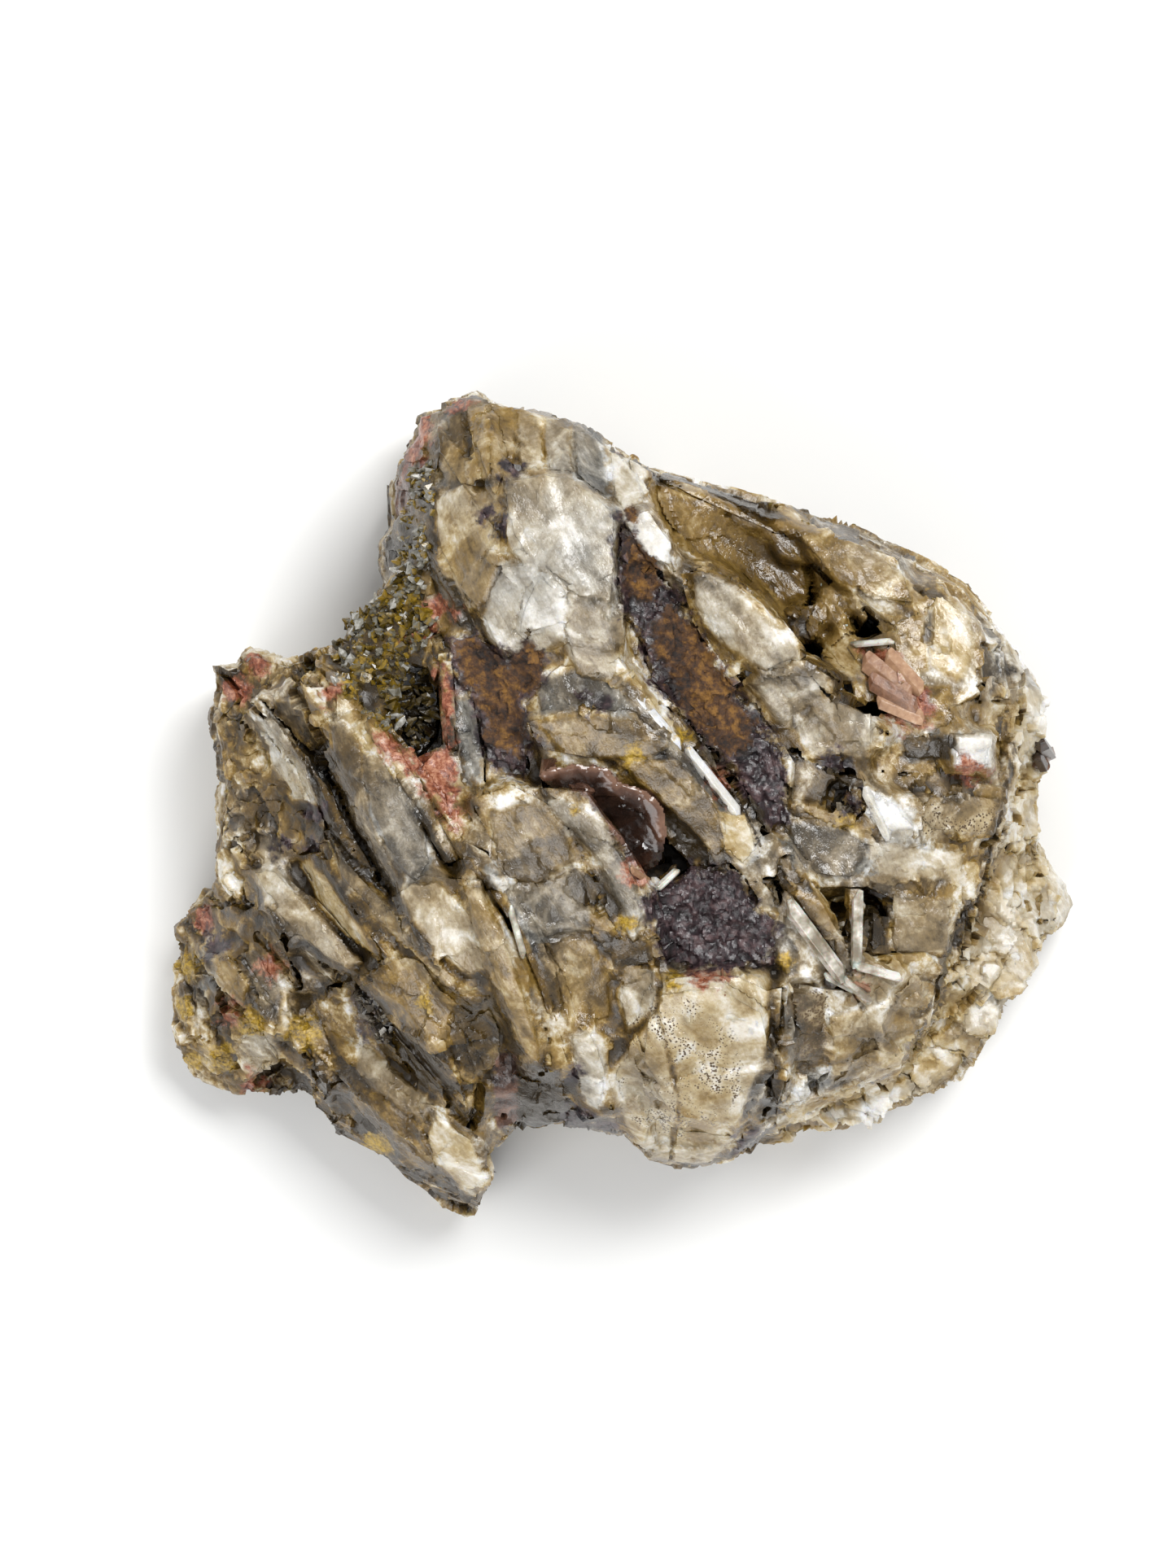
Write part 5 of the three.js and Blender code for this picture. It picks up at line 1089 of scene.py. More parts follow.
# What each field does to the crystal: field, how much lighter it makes it, and how much warmer.
CRYSTAL_FIELDS = [
    ("honey", -0.10, 0.55),
    ("olive", -0.20, 0.45),
    ("grey", -0.02, -0.75),
    ("frost", 0.14, -0.50),
    ("crust", 0.0, 0.05),
    ("rim", 0.0, -0.10),
]

# Stains over the crystal: field, its dark, middle and light colours, grain in mm, how ragged its edge
# is in mm, roughness, and share of light that goes under the surface.
STAINS = [
    ("chocolate", "#2A1B14", "#553A2C", "#86624F", 2.2, 0.8, 0.14, 0.10),
    ("yellow", "#43340B", "#8F7118", "#C4A23C", 0.5, 1.5, 0.40, 0.05),
    ("salmon", "#4A2010", "#8E4E33", "#C48E70", 0.6, 2.2, 0.34, 0.06),
    ("purple", "#100A0B", "#2D2023", "#5C4848", 0.9, 2.0, 0.34, 0.0),
    ("rust", "#1B0F07", "#4B2E10", "#80591E", 1.0, 1.5, 0.85, 0.0),
]
STAIN_SPOTS = [0.62, 0.80, 0.98]

# The crystal's own patterns, in cells per millimetre along and across the blades.
CLEAVAGE_LINES = (0.17 / MM, 1.5 / MM, 1.5 / MM)
CLEAVAGE_FACETS = (0.30 / MM, 0.75 / MM, 0.75 / MM)
CELESTITE_IOR = 1.62


def set_ramp(ramp_node, spots, colours):
    """Fills a colour ramp with these colours at these spots."""
    elements = ramp_node.color_ramp.elements
    while len(elements) < len(spots):
        elements.new(0.5)
    for element, spot, colour in zip(elements, spots, colours):
        element.position, element.color = spot, linear(colour)
    return ramp_node.outputs[0]


def summed(tree, start, *terms):
    """start plus each value times its factor."""
    total = start
    for value, factor in terms:
        total = node(tree, "ShaderNodeMath", {"operation": "MULTIPLY_ADD"},
                     i0=value, i1=factor, i2=total).outputs[0]
    return total


def field_mask(tree, field, ragged, edge):
    """1 where a mineral field is inside its patch, 0 outside, with a ragged edge this many mm wide."""
    depth = node(tree, "ShaderNodeAttribute", {"attribute_name": field}).outputs["Fac"]
    return node(tree, "ShaderNodeMapRange", {"interpolation_type": "SMOOTHSTEP"},
                i0=summed(tree, depth, (ragged, 4 * edge)), i1=-0.3 * edge, i2=0.4 * edge).outputs[0]


def speckled(tree, place, ragged, veil, colour):
    """Brown iron specks a third of a millimetre across, thick in places."""
    spot = node(tree, "ShaderNodeTexVoronoi", Vector=place, Scale=1 / (0.36 * MM)).outputs["Distance"]
    thick = node(tree, "ShaderNodeMapRange", i0=veil, i1=0.40, i2=0.62, i3=0.10, i4=0.46).outputs[0]
    spot = node(tree, "ShaderNodeMath", {"operation": "LESS_THAN"}, i0=spot, i1=thick).outputs[0]
    spot = node(tree, "ShaderNodeMath", {"operation": "MULTIPLY"}, i0=spot,
                i1=field_mask(tree, "specks", ragged, 1.2)).outputs[0]
    return node(tree, "ShaderNodeMix", {"data_type": "RGBA"},
                i0=spot, i6=colour, i7=linear("#5E4C36")).outputs[2]


def stained(tree, place, ragged, shading, colour, rough, cloudy):
    """Lays the stains over the crystal: its colour, its roughness and how cloudy it is."""
    for number, (field, dark, middle, light, grain, edge, dull, milky) in enumerate(STAINS):
        mask = field_mask(tree, field, ragged, edge)
        moved = node(tree, "ShaderNodeMapping", Vector=place, Location=(0.01 * number, 0.02, 0)).outputs[0]
        mottle = node(tree, "ShaderNodeTexNoise", Vector=moved, Scale=1 / (grain * MM), Detail=6.0,
                      Roughness=0.72).outputs[0]
        mottle = summed(tree, mottle, *shading)
        stain = set_ramp(node(tree, "ShaderNodeValToRGB", Fac=mottle), STAIN_SPOTS, [dark, middle, light])
        colour = node(tree, "ShaderNodeMix", {"data_type": "RGBA"}, i0=mask, i6=colour, i7=stain).outputs[2]
        rough = node(tree, "ShaderNodeMix", i0=mask, i2=rough, i3=dull).outputs[0]
        cloudy = node(tree, "ShaderNodeMix", i0=mask, i2=cloudy, i3=milky).outputs[0]
    return colour, rough, cloudy


def cleavage_normal(tree, turned, lines, sugar):
    """Cleavage lines, facets about a millimetre wide that each have their own slope, and a finer grain."""
    split = node(tree, "ShaderNodeMapping", Vector=turned, Scale=CLEAVAGE_FACETS).outputs[0]
    cell = node(tree, "ShaderNodeTexVoronoi", Vector=split, Scale=1.0)
    lean = node(tree, "ShaderNodeVectorMath", {"operation": "MULTIPLY_ADD"},
                i0=cell.outputs["Color"], i1=(2, 2, 2), i2=(-1, -1, -1)).outputs[0]
    away = node(tree, "ShaderNodeVectorMath", {"operation": "SUBTRACT"},
                i0=split, i1=cell.outputs["Position"]).outputs[0]
    slope = node(tree, "ShaderNodeVectorMath", {"operation": "DOT_PRODUCT"},
                 i0=away, i1=lean).outputs["Value"]
    normal = node(tree, "ShaderNodeBump", Height=lines, Distance=0.16 * MM, Strength=0.5).outputs[0]
    normal = node(tree, "ShaderNodeBump", Height=slope, Distance=0.16 * MM, Strength=0.8,
                  Normal=normal).outputs[0]
    return node(tree, "ShaderNodeBump", Height=sugar, Distance=0.20 * MM, Strength=0.5,
                Normal=normal).outputs[0]


def mineral_material():
    """Cleaved celestite, cloudy and iron-stained: a vitreous lustre over milky, layered crystal."""
    material, tree, shader = principled("iron_stained_celestite")
    place = node(tree, "ShaderNodeTexCoord").outputs["Object"]
    small, middle, large, grains, groove, hollow, facing, seam, clean, light, stain_share = (
        node(tree, "ShaderNodeAttribute", {"attribute_name": name}).outputs["Fac"]
        for name in ("facet_small", "facet_middle", "facet_large", "facet_crust", "groove", "hollow",
                     "facing", "seam", "clean", "light", "warmth"))
    ragged = node(tree, "ShaderNodeTexNoise", Vector=place, Scale=1 / (2.2 * MM), Detail=6.0,
                  Roughness=0.66).outputs[0]
    ragged = node(tree, "ShaderNodeMath", {"operation": "SUBTRACT"}, i0=ragged, i1=0.5).outputs[0]
    masks = {field: field_mask(tree, field, ragged, 2.0) for field, *_ in CRYSTAL_FIELDS}
    lighter = [(masks[field], change) for field, change, _ in CRYSTAL_FIELDS]
    warmer = [(masks[field], change) for field, _, change in CRYSTAL_FIELDS]

    # Fine lines drawn out along the blades, a sugary grain, and milky veils a few millimetres across.
    turned = node(tree, "ShaderNodeMapping", Vector=place, Rotation=(0, 0, FABRIC)).outputs[0]
    drawn = node(tree, "ShaderNodeMapping", Vector=turned, Scale=CLEAVAGE_LINES).outputs[0]
    lines = node(tree, "ShaderNodeTexNoise", Vector=drawn, Scale=1.0, Detail=4.0, Roughness=0.65).outputs[0]
    sugar = node(tree, "ShaderNodeTexNoise", Vector=place, Scale=1 / (0.55 * MM), Detail=3.0,
                 Roughness=0.7).outputs[0]
    veil = node(tree, "ShaderNodeTexNoise", Vector=place, Scale=1 / (5.0 * MM), Detail=4.0, Roughness=0.55,
                Distortion=1.0).outputs[0]
    white = node(tree, "ShaderNodeTexNoise", Vector=place, Scale=1 / (1.3 * MM), Detail=7.0,
                 Roughness=0.78).outputs[0]
    white = node(tree, "ShaderNodeMapRange", i0=summed(tree, white, (veil, 1.1)), i1=1.05, i2=1.40).outputs[0]
    iron = node(tree, "ShaderNodeTexNoise", Vector=place, Scale=1 / (11 * MM), Detail=5.0,
                Roughness=0.6).outputs[0]

    # Painted shade: darker and warmer on the sides turned to the lower left, away from the light, where each
    # blade rolls over into a groove, and in the creases and the hollows; darker along the long grooves.
    # Painted light: the honey crystal deep in its hollow is made lighter, as if lit through.
    shaded_side = node(tree, "ShaderNodeMapRange", {"interpolation_type": "SMOOTHSTEP"},
                       i0=summed(tree, facing, (ragged, 0.6)), i1=0.62, i2=0.02).outputs[0]
    deep = node(tree, "ShaderNodeMapRange", {"interpolation_type": "SMOOTHSTEP"},
                i0=hollow, i1=-0.3, i2=3.2).outputs[0]
    lit = node(tree, "ShaderNodeMath", {"operation": "MULTIPLY"}, i0=masks["honey"], i1=deep).outputs[0]
    crease_shade = node(tree, "ShaderNodeMapRange",
                i0=summed(tree, groove, (ragged, 0.9)), i1=0.05, i2=0.9).outputs[0]
    groove_shade = node(tree, "ShaderNodeMapRange",
                     i0=summed(tree, seam, (ragged, 1.6)), i1=1.2, i2=0.2).outputs[0]
    in_crust = node(tree, "ShaderNodeMath", {"operation": "MULTIPLY"},
                    i0=masks["crust"], i1=grains).outputs[0]

    tone = summed(tree, -0.38, (veil, 0.80), (large, 0.20), (middle, 0.22), (small, 0.09), (lines, 0.24),
                  (sugar, 0.12), (in_crust, 0.24), (white, 0.38), (shaded_side, -0.24), (deep, -0.16),
                  (lit, 0.42), (crease_shade, -0.16), (groove_shade, -0.24), *lighter)
    warmth = summed(tree, -1.0, (iron, 2.7), (middle, 0.3), (large, 0.3), (white, -0.4),
                    (shaded_side, 0.35), (deep, 0.35), (crease_shade, 0.3), *warmer)
    # The outer rim is paler and more even than the rest.
    even = node(tree, "ShaderNodeMath", {"operation": "MULTIPLY"}, i0=masks["rim"], i1=0.50).outputs[0]
    tone = node(tree, "ShaderNodeMix", i0=even, i2=tone, i3=0.68).outputs[0]
    # A clean face has its own lightness and warmth, with veils and cleavage lines within, painted light on
    # the side that faces the light, and painted shade along the long grooves.
    clear_tone = summed(tree, -0.63, (light, 0.90), (veil, 0.70), (lines, 0.24), (sugar, 0.20), (white, 0.14),
                        (facing, 0.14), (groove_shade, -0.20), (middle, 0.10), (small, 0.06))
    tone = node(tree, "ShaderNodeMix", i0=clean, i2=tone, i3=clear_tone).outputs[0]
    clear_warmth = summed(tree, -0.72, (stain_share, 1.15), (iron, 1.5), (lines, 0.2))
    warmth = node(tree, "ShaderNodeMix", i0=clean, i2=warmth, i3=clear_warmth).outputs[0]
    warmth = node(tree, "ShaderNodeClamp", Value=warmth).outputs[0]
    warm = set_ramp(node(tree, "ShaderNodeValToRGB", Fac=tone), TONE_SPOTS, WARM_TONES)
    cool = set_ramp(node(tree, "ShaderNodeValToRGB", Fac=tone), TONE_SPOTS, COOL_TONES)
    colour = node(tree, "ShaderNodeMix", {"data_type": "RGBA"}, i0=warmth, i6=cool, i7=warm).outputs[2]
    colour = speckled(tree, place, ragged, veil, colour)
    rough = summed(tree, 0.16, (clean, -0.10), (small, 0.16), (masks["crust"], 0.12), (crease_shade, 0.2))
    cloudy = node(tree, "ShaderNodeMapRange", i0=tone, i1=0.2, i2=0.7, i3=0.1, i4=0.5).outputs[0]
    # Each stain's mottle follows the veils and the small facets, and is darker in the creases: painted shade.
    shading = ((veil, 0.5), (small, 0.12), (crease_shade, -0.12))
    colour, rough, cloudy = stained(tree, place, ragged, shading, colour, rough, cloudy)

    tree.links.new(cleavage_normal(tree, turned, lines, sugar), shader.inputs["Normal"])
    tree.links.new(rough, shader.inputs["Roughness"])
    tree.links.new(cloudy, shader.inputs["Subsurface Weight"])
    tree.links.new(colour, shader.inputs["Base Color"])
    shader.inputs["Subsurface Radius"].default_value = (1.0, 0.8, 0.5)
    shader.inputs["Subsurface Scale"].default_value = 2.0 * MM
    shader.inputs["IOR"].default_value = CELESTITE_IOR
    return material


# Colours of the small crystals, from their dark hearts to their glints.
SMOKY = ["#0B0906", "#17120A", "#2E2410", "#5B4A1E", "#8E8675"]
OLIVE = ["#171208", "#352A0D", "#5C4A12", "#8A6F1C", "#5E5A4C", "#8A877C", "#C4C2BB"]
SOOTY = ["#100C08", "#221C14", "#3A3124", "#5C5242", "#A39C8C"]
COPPER = ["#482C1C", "#886046", "#B28C6C", "#E0D2BE"]
BROWN = ["#1E140D", "#3F2A1B", "#6B4A30", "#8E6A48"]
CHOCOLATE = ["#180E09", "#342117", "#54392B", "#86644F"]


def grain_material(name, colours, roughness, cloudy, grain=0.8):
    """Small crystals: one tint for each, mottled in grains of this many mm, with a sharp vitreous lustre."""
    material, tree, shader = principled(name)
    place = node(tree, "ShaderNodeTexCoord").outputs["Object"]
    tint = node(tree, "ShaderNodeAttribute", {"attribute_name": "tint"}).outputs["Fac"]
    mottle = node(tree, "ShaderNodeTexNoise", Vector=place, Scale=1 / (grain * MM), Detail=4.0,
                  Roughness=0.6).outputs[0]
    mixed = summed(tree, -0.25, (tint, 0.75), (mottle, 0.75))
    spots = [i / (len(colours) - 1) for i in range(len(colours))]
    colour = set_ramp(node(tree, "ShaderNodeValToRGB", Fac=mixed), spots, colours)
    tree.links.new(colour, shader.inputs["Base Color"])
    tree.links.new(summed(tree, roughness, (mottle, 0.2)), shader.inputs["Roughness"])
    bump = node(tree, "ShaderNodeBump", Height=mottle, Distance=0.12 * MM, Strength=0.6).outputs[0]
    tree.links.new(bump, shader.inputs["Normal"])
    shader.inputs["Subsurface Weight"].default_value = cloudy
    shader.inputs["Subsurface Radius"].default_value = (1.0, 0.85, 0.6)
    shader.inputs["Subsurface Scale"].default_value = 1.0 * MM
    shader.inputs["IOR"].default_value = CELESTITE_IOR
    return material


def clear_material():
    """Clear celestite prism: see-through with milky veils, faintly grey, under a vitreous lustre."""
    material, tree, shader = principled("clear_celestite")
    place = node(tree, "ShaderNodeTexCoord").outputs["Object"]
    veil = node(tree, "ShaderNodeTexNoise", Vector=place, Scale=1 / (2.4 * MM), Detail=3.0,
                Roughness=0.55).outputs[0]
    rough = node(tree, "ShaderNodeMapRange", i0=veil, i1=0.4, i2=0.7, i3=0.04, i4=0.40).outputs[0]
    tree.links.new(rough, shader.inputs["Roughness"])
    milky = node(tree, "ShaderNodeMapRange", i0=veil, i1=0.40, i2=0.60, i3=0.60, i4=0.10).outputs[0]
    tree.links.new(milky, shader.inputs["Transmission Weight"])
    colour = set_ramp(node(tree, "ShaderNodeValToRGB", Fac=veil), [0.35, 0.5, 0.65],
                      ["#B4AA94", "#D2CBBB", "#EAE6DE"])
    tree.links.new(colour, shader.inputs["Base Color"])
    bump = node(tree, "ShaderNodeBump", Height=veil, Distance=0.10 * MM, Strength=0.2).outputs[0]
    tree.links.new(bump, shader.inputs["Normal"])
    shader.inputs["Subsurface Weight"].default_value = 0.4
    shader.inputs["Subsurface Scale"].default_value = 2.0 * MM
    shader.inputs["IOR"].default_value = CELESTITE_IOR
    inside = node(tree, "ShaderNodeVolumeAbsorption", Color=linear("#E4DFD3"), Density=15.0)
    sink = next(item for item in tree.nodes if item.bl_idname == "ShaderNodeOutputMaterial")
    tree.links.new(inside.outputs[0], sink.inputs["Volume"])
    return material


# ---------------------------------------------------------------- operators

# The stretches of the cluster: name, outline on the plan, and the direction of its blades in radians.
REGIONS = [
    ("left_wing", [(0, 40), (20, 62)] + SEAM_LEFT[1:] + [(0, 165)], FABRIC),
    ("crown_and_centre", [(20, 62), (20, 30), (77, 30)] + SEAM_RIGHT + SEAM_LEFT[:0:-1], FABRIC),
    ("right_mass", SEAM_RIGHT[::-1] + [(150, 35), (150, 165)], 0.7),
]


def grown(outline, by):
    """The outline moved outwards by this many millimetres."""
    corners = np.array(outline, dtype=float)
    before, after = np.roll(corners, 1, axis=0), np.roll(corners, -1, axis=0)
    along = after - before
    along /= np.linalg.norm(along, axis=1)[:, None]
    area = np.sum(corners[:, 0] * after[:, 1] - after[:, 0] * corners[:, 1])
    outward = np.stack([along[:, 1], -along[:, 0]], axis=1) * (1 if area > 0 else -1)
    return [tuple(p) for p in corners + outward * by]


class SPECIMEN_OT_crystal_mass(bpy.types.Operator):
    """Builds the intergrown blades in three stretches, with cleavage relief and mineral patches"""
    bl_idname = "specimen.crystal_mass"
    bl_label = "Crystal Mass"

    def execute(self, context):
        settings = context.scene.specimen
        heights = specimen_heights()
        material = mineral_material()
        for name, outline, fabric in REGIONS:
            region = crystal_region(name, grown(outline, SEAM_OVERLAP / 2), fabric, heights, settings)
            region.data.materials.append(material)
        return {"FINISHED"}


# The grains that fill the gaps between the blades lie this far below the surface, in millimetres, and
# further below it in the long grooves.
MATRIX_DEPTH = 0.45
GROOVE_DEPTH = 1.5
MATRIX_UNDER_FACE = 0.2  # mm, how far the grains stay under a clean face
MATRIX_LOWEST = 12  # mm, there are no grains where the mass is lower than this


class SPECIMEN_OT_matrix(bpy.types.Operator):
    """Fills the narrow gaps between the blades with fine-grained crystal"""
    bl_idname = "specimen.matrix"
    bl_label = "Grain Matrix"

    def execute(self, context):
        heights = specimen_heights()
        u, v = heights.plan()
        groove = GROOVE_DEPTH * smoothstep(1.7, 0.1, groove_distance(u, v))
        level = heights.closed - MATRIX_DEPTH - groove
        fields = face_fields(u.ravel(), v.ravel(), heights)
        share, face, light, warmth = (field.reshape(u.shape) for field in fields)
        level += share * (face - MATRIX_UNDER_FACE - groove - level)
        in_hollow = (patch_field(u, v, HOLLOWS) > -0.2) & (patch_field(u, v, FILLED) < 0)
        high = (heights.top > MATRIX_LOWEST).astype(float)
        inside = (heights.spread(high, np.minimum, 1.3) > 0) & ~in_hollow
        gap = (level > heights.top - 0.2 - 0.8 * share) & inside
        shown = heights.spread(gap.astype(float), np.maximum, 0.9) * inside > 0
        matrix = height_sheet("grain_matrix", u, v, level, shown, 3, 5)
        u, v = plan_of(coordinates(matrix.data))
        share, face, light, warmth = face_fields(u, v, heights)
        for key, values in (("clean", share), ("light", light), ("warmth", warmth)):
            store(matrix.data, key, values)
        finish_crystal(matrix, heights, (0.4, 0.8, 0.8, 0.25, 0.1), (0, 0, 0, 0.8, 0.3))
        matrix.data.materials.append(bpy.data.materials["iron_stained_celestite"])
        return {"FINISHED"}


FINE_CELL = 0.22  # mm, the grid of the finer sheets
IRON_LOWEST = 15  # mm, there is no iron crust where the mass is lower than this


class SPECIMEN_OT_iron_crust(bpy.types.Operator):
    """Lays the earthy iron-oxide crust over the rust bands and the purple-black patches"""
    bl_idname = "specimen.iron_crust"
    bl_label = "Iron Crust"

    def execute(self, context):
        heights = specimen_heights()
        u, v = plan_grid(50, 57, 400, 400, FINE_CELL)
        field = np.maximum(patch_field(u, v, PATCHES["rust"]), patch_field(u, v, PATCHES["purple"]))
        within = field + uneven(u, v, 2.0, 3)
        surface = heights.between(heights.soft, u, v)
        level = surface + 0.35 + 0.9 * uneven(u, v, 2.4, 5, 5) - 1.5 * smoothstep(0.7, -0.1, within)
        shown = (within > 0) & (surface > IRON_LOWEST)
        crust = height_sheet("iron_crust", u, v, level, shown, 2, 1)
        finish_crystal(crust, heights, (0, 0.5, 1.0, 0, 0.7))
        crust.data.materials.append(bpy.data.materials["iron_stained_celestite"])
        return {"FINISHED"}


VUG_CENTRE = at(51.4, 87, 40)
VUG_FLOOR = 31  # mm, no crystals stand lower than this in the vug


class SPECIMEN_OT_vug_druse(bpy.types.Operator):
    """Lines the dark vug with its crust of smoky crystals"""
    bl_idname = "specimen.vug_druse"
    bl_label = "Vug Druse"

    def execute(self, context):
        rng = np.random.default_rng(41)
        lining = copy_of(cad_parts[VUG], "vug_lining")
        regridded(lining, 0.4 * MM)
        finish_crystal(lining, specimen_heights(), (0, 0, 0.4, 0.5, 0))
        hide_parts(VUG)
        # Smoky, nearly black crystal, whose points glint hard and wet.
        smoky = grain_material("smoky_druse", SMOKY, 0.08, 0.05)
        lining.data.materials.append(smoky)
        store(lining.data, "tint", np.full(len(lining.data.vertices), 0.1))
        points, normals = coordinates(lining.data), point_normals(lining.data)
        inward = np.einsum("ij,ij->i", np.array(VUG_CENTRE) - points, normals) > 0
        above = points[:, 2] > VUG_FLOOR * MM
        chosen = spaced(rng, np.flatnonzero(inward & above), points, 0.9)
        seeds = [pointed_seed("smoky_a"), pointed_seed("smoky_b", 5, 0.7, 0.2, 0.4)]
        size = (0.9, 0.9, 1.3)
        planted("vug_crystals", seeds, points[chosen], normals[chosen], rng, size, 0.4, 0.1, smoky)
        return {"FINISHED"}


# Where each kind of small crystal grows on the plan.
DRUSE_BED = [
    [(40.4, 78.4), (44, 74.6), (48.4, 72.6), (49.6, 66), (51, 58), (53.4, 56.6), (53.6, 64), (52.4, 71),
     (54, 77), (51, 81), (49, 84.6), (49.4, 89), (47, 90), (43, 86), (40.4, 82)],
]
DARK_DRUSE = [
    [(43.4, 122), (47.4, 123), (49, 129), (45.6, 127.6)],
    [(101.4, 97), (105, 96.8), (105.4, 99.6), (102.4, 100.4)],
    [(99.6, 92.6), (103, 92.6), (103.4, 95), (100.6, 95)],
]


class SPECIMEN_OT_druse(bpy.types.Operator):
    """Grows the olive druse round the vug and the dark sparkling druse in the clefts"""
    bl_idname = "specimen.druse"
    bl_label = "Druse"

    def execute(self, context):
        width = context.scene.specimen.druse_size / MM
        rng = np.random.default_rng(7)
        # Olive to grey crystal, some of it nearly clear, that sparkles from many small faces.
        olive = grain_material("olive_druse", OLIVE, 0.08, 0.2)
        places = surface_places(rng, mass_pieces(), DRUSE_BED, 0.8)
        seeds = [pointed_seed("olive_a"), pointed_seed("olive_b", 5, 0.7, 0.2, 0.4), chip_seed("olive_c", 3)]
        planted("olive_druse", seeds, *places, rng, (width, width, width * 1.1), 0.5, 0.1, olive)
        # Sooty crystal in the clefts, black but for its glints.
        dark = grain_material("dark_druse", SOOTY, 0.08, 0.05)
        places = surface_places(rng, mass_pieces(), DARK_DRUSE, 0.65)
        seeds = [pointed_seed("dark_a", 4), chip_seed("dark_b", 5)]
        planted("dark_druse", seeds, *places, rng, (0.5, 0.7, 0.5), 0.4, 0.1, dark)
        return {"FINISHED"}


# Prisms and blades that stand clear of the mass: both ends as (u, v, height over the mass), width and
# thickness, all in millimetres.
CLEAR_PRISMS = [
    ((104.9, 109.2, 0.9), (104.7, 118.8, 0.5), 1.4, 1.2),
    ((96.2, 110.6, 0.7), (103.4, 120.2, 0.6), 2.0, 1.4),
    ((104.2, 118.2, 0.7), (110.4, 119.9, 0.5), 1.2, 1.0),
    ((103.0, 119.8, 0.9), (106.6, 122.8, 0.4), 1.1, 0.9),
    ((100.8, 119.4, 0.6), (104.6, 121.4, 0.5), 1.0, 0.8),
    ((104.2, 79.4, 0.6), (109.4, 79.0, 0.7), 0.9, 0.5),
    ((100.6, 72.0, 0.6), (104.0, 77.2, 0.6), 0.9, 0.6),
    ((80.4, 109.2, 0.6), (83.2, 106.6, 0.7), 1.0, 0.8),
    ((62.8, 111.0, 0.3), (64.6, 117.4, 0.3), 0.9, 0.5),
]
PALE_BLADES = [
    ((76.0, 83.6, -0.2), (83.4, 92.2, -0.2), 1.8, 0.7),
    ((84.0, 92.2, -0.1), (90.6, 100.4, -0.3), 1.8, 0.7),
    ((105.6, 96.8, 0.1), (108.8, 103.0, 0.1), 1.4, 0.7),
]
COPPER_BLADES = [
    ((105.6, 81.0, 0.5), (111.4, 85.8, 0.1), 2.6, 0.5),
    ((106.2, 83.6, 0.6), (112.2, 87.2, 0.1), 2.3, 0.4),
    ((107.2, 86.0, 0.6), (113.0, 88.4, 0.1), 2.2, 0.4),
    ((108.4, 80.4, 0.4), (112.8, 85.2, 0.1), 2.2, 0.4),
    ((78.6, 101.4, 0.4), (80.8, 103.8, 0.2), 0.8, 0.3),
    ((79.6, 100.8, 0.5), (80.4, 104.2, 0.3), 0.6, 0.3),
    ((77.4, 106.6, 0.2), (79.8, 108.2, 0.2), 0.9, 0.3),
    ((104.4, 120.4, 0.4), (106.6, 121.4, 0.3), 0.7, 0.3),
    ((88.4, 118.6, 0.5), (88.8, 121.8, 0.4), 0.4, 0.3),
]
EDGE_LUMP = [
    ((127.6, 91.2, 0.4), (129.4, 92.6, 0.2), 1.9, 1.8),
    ((128.0, 93.8, 0.5), (129.6, 92.6, 0.3), 1.8, 1.7),
    ((127.4, 92.4, 0.8), (128.6, 94.4, 0.6), 1.5, 1.4),
]


def set_crystals(name, seed, rows, material, rng):
    """Joins copies of a seed laid along each row into one piece."""
    heights = specimen_heights()
    made = []
    for start, end, width, thickness in rows:
        ends = []
        for u, v, lift in (start, end):
            mass = heights.between(heights.soft, np.array([u]), np.array([v]))[0]
            ends.append(at(u, v, mass + lift))
        axis = ends[1] - ends[0]
        side = Vector((0, 0, 1)).cross(axis).normalized()
        side = (side + Vector((0, 0, rng.uniform(-0.5, 0.5)))).normalized()
        up = axis.cross(side).normalized()
        side = up.cross(axis).normalized()
        turn = Matrix((axis.normalized(), side, up)).transposed()
        scale = (axis.length, width * MM, thickness * 1.6 * MM)
        crystal = seed.copy()
        crystal.data = seed.data.copy()
        bpy.context.scene.collection.objects.link(crystal)
        crystal.matrix_world = Matrix.LocRotScale((ends[0] + ends[1]) / 2, turn.to_quaternion(), scale)
        made.append(crystal)
    bpy.data.objects.remove(seed)
    alone(made[0])
    for crystal in made:
        crystal.select_set(True)
    bpy.ops.object.join()
    piece = bpy.context.object
    piece.name = name
    bpy.ops.object.transform_apply(location=True, rotation=True, scale=True)
    tint = np.repeat(rng.uniform(0, 1, len(rows)), len(piece.data.vertices) // len(rows))
    store(piece.data, "tint", tint)
    round_off = piece.modifiers.new("worn", "BEVEL")
    round_off.width = 0.09 * MM
    round_off.segments = 2
    applied(piece, round_off)
    piece.data.materials.clear()
    piece.data.materials.append(material)
    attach(piece, BODY)
    return piece


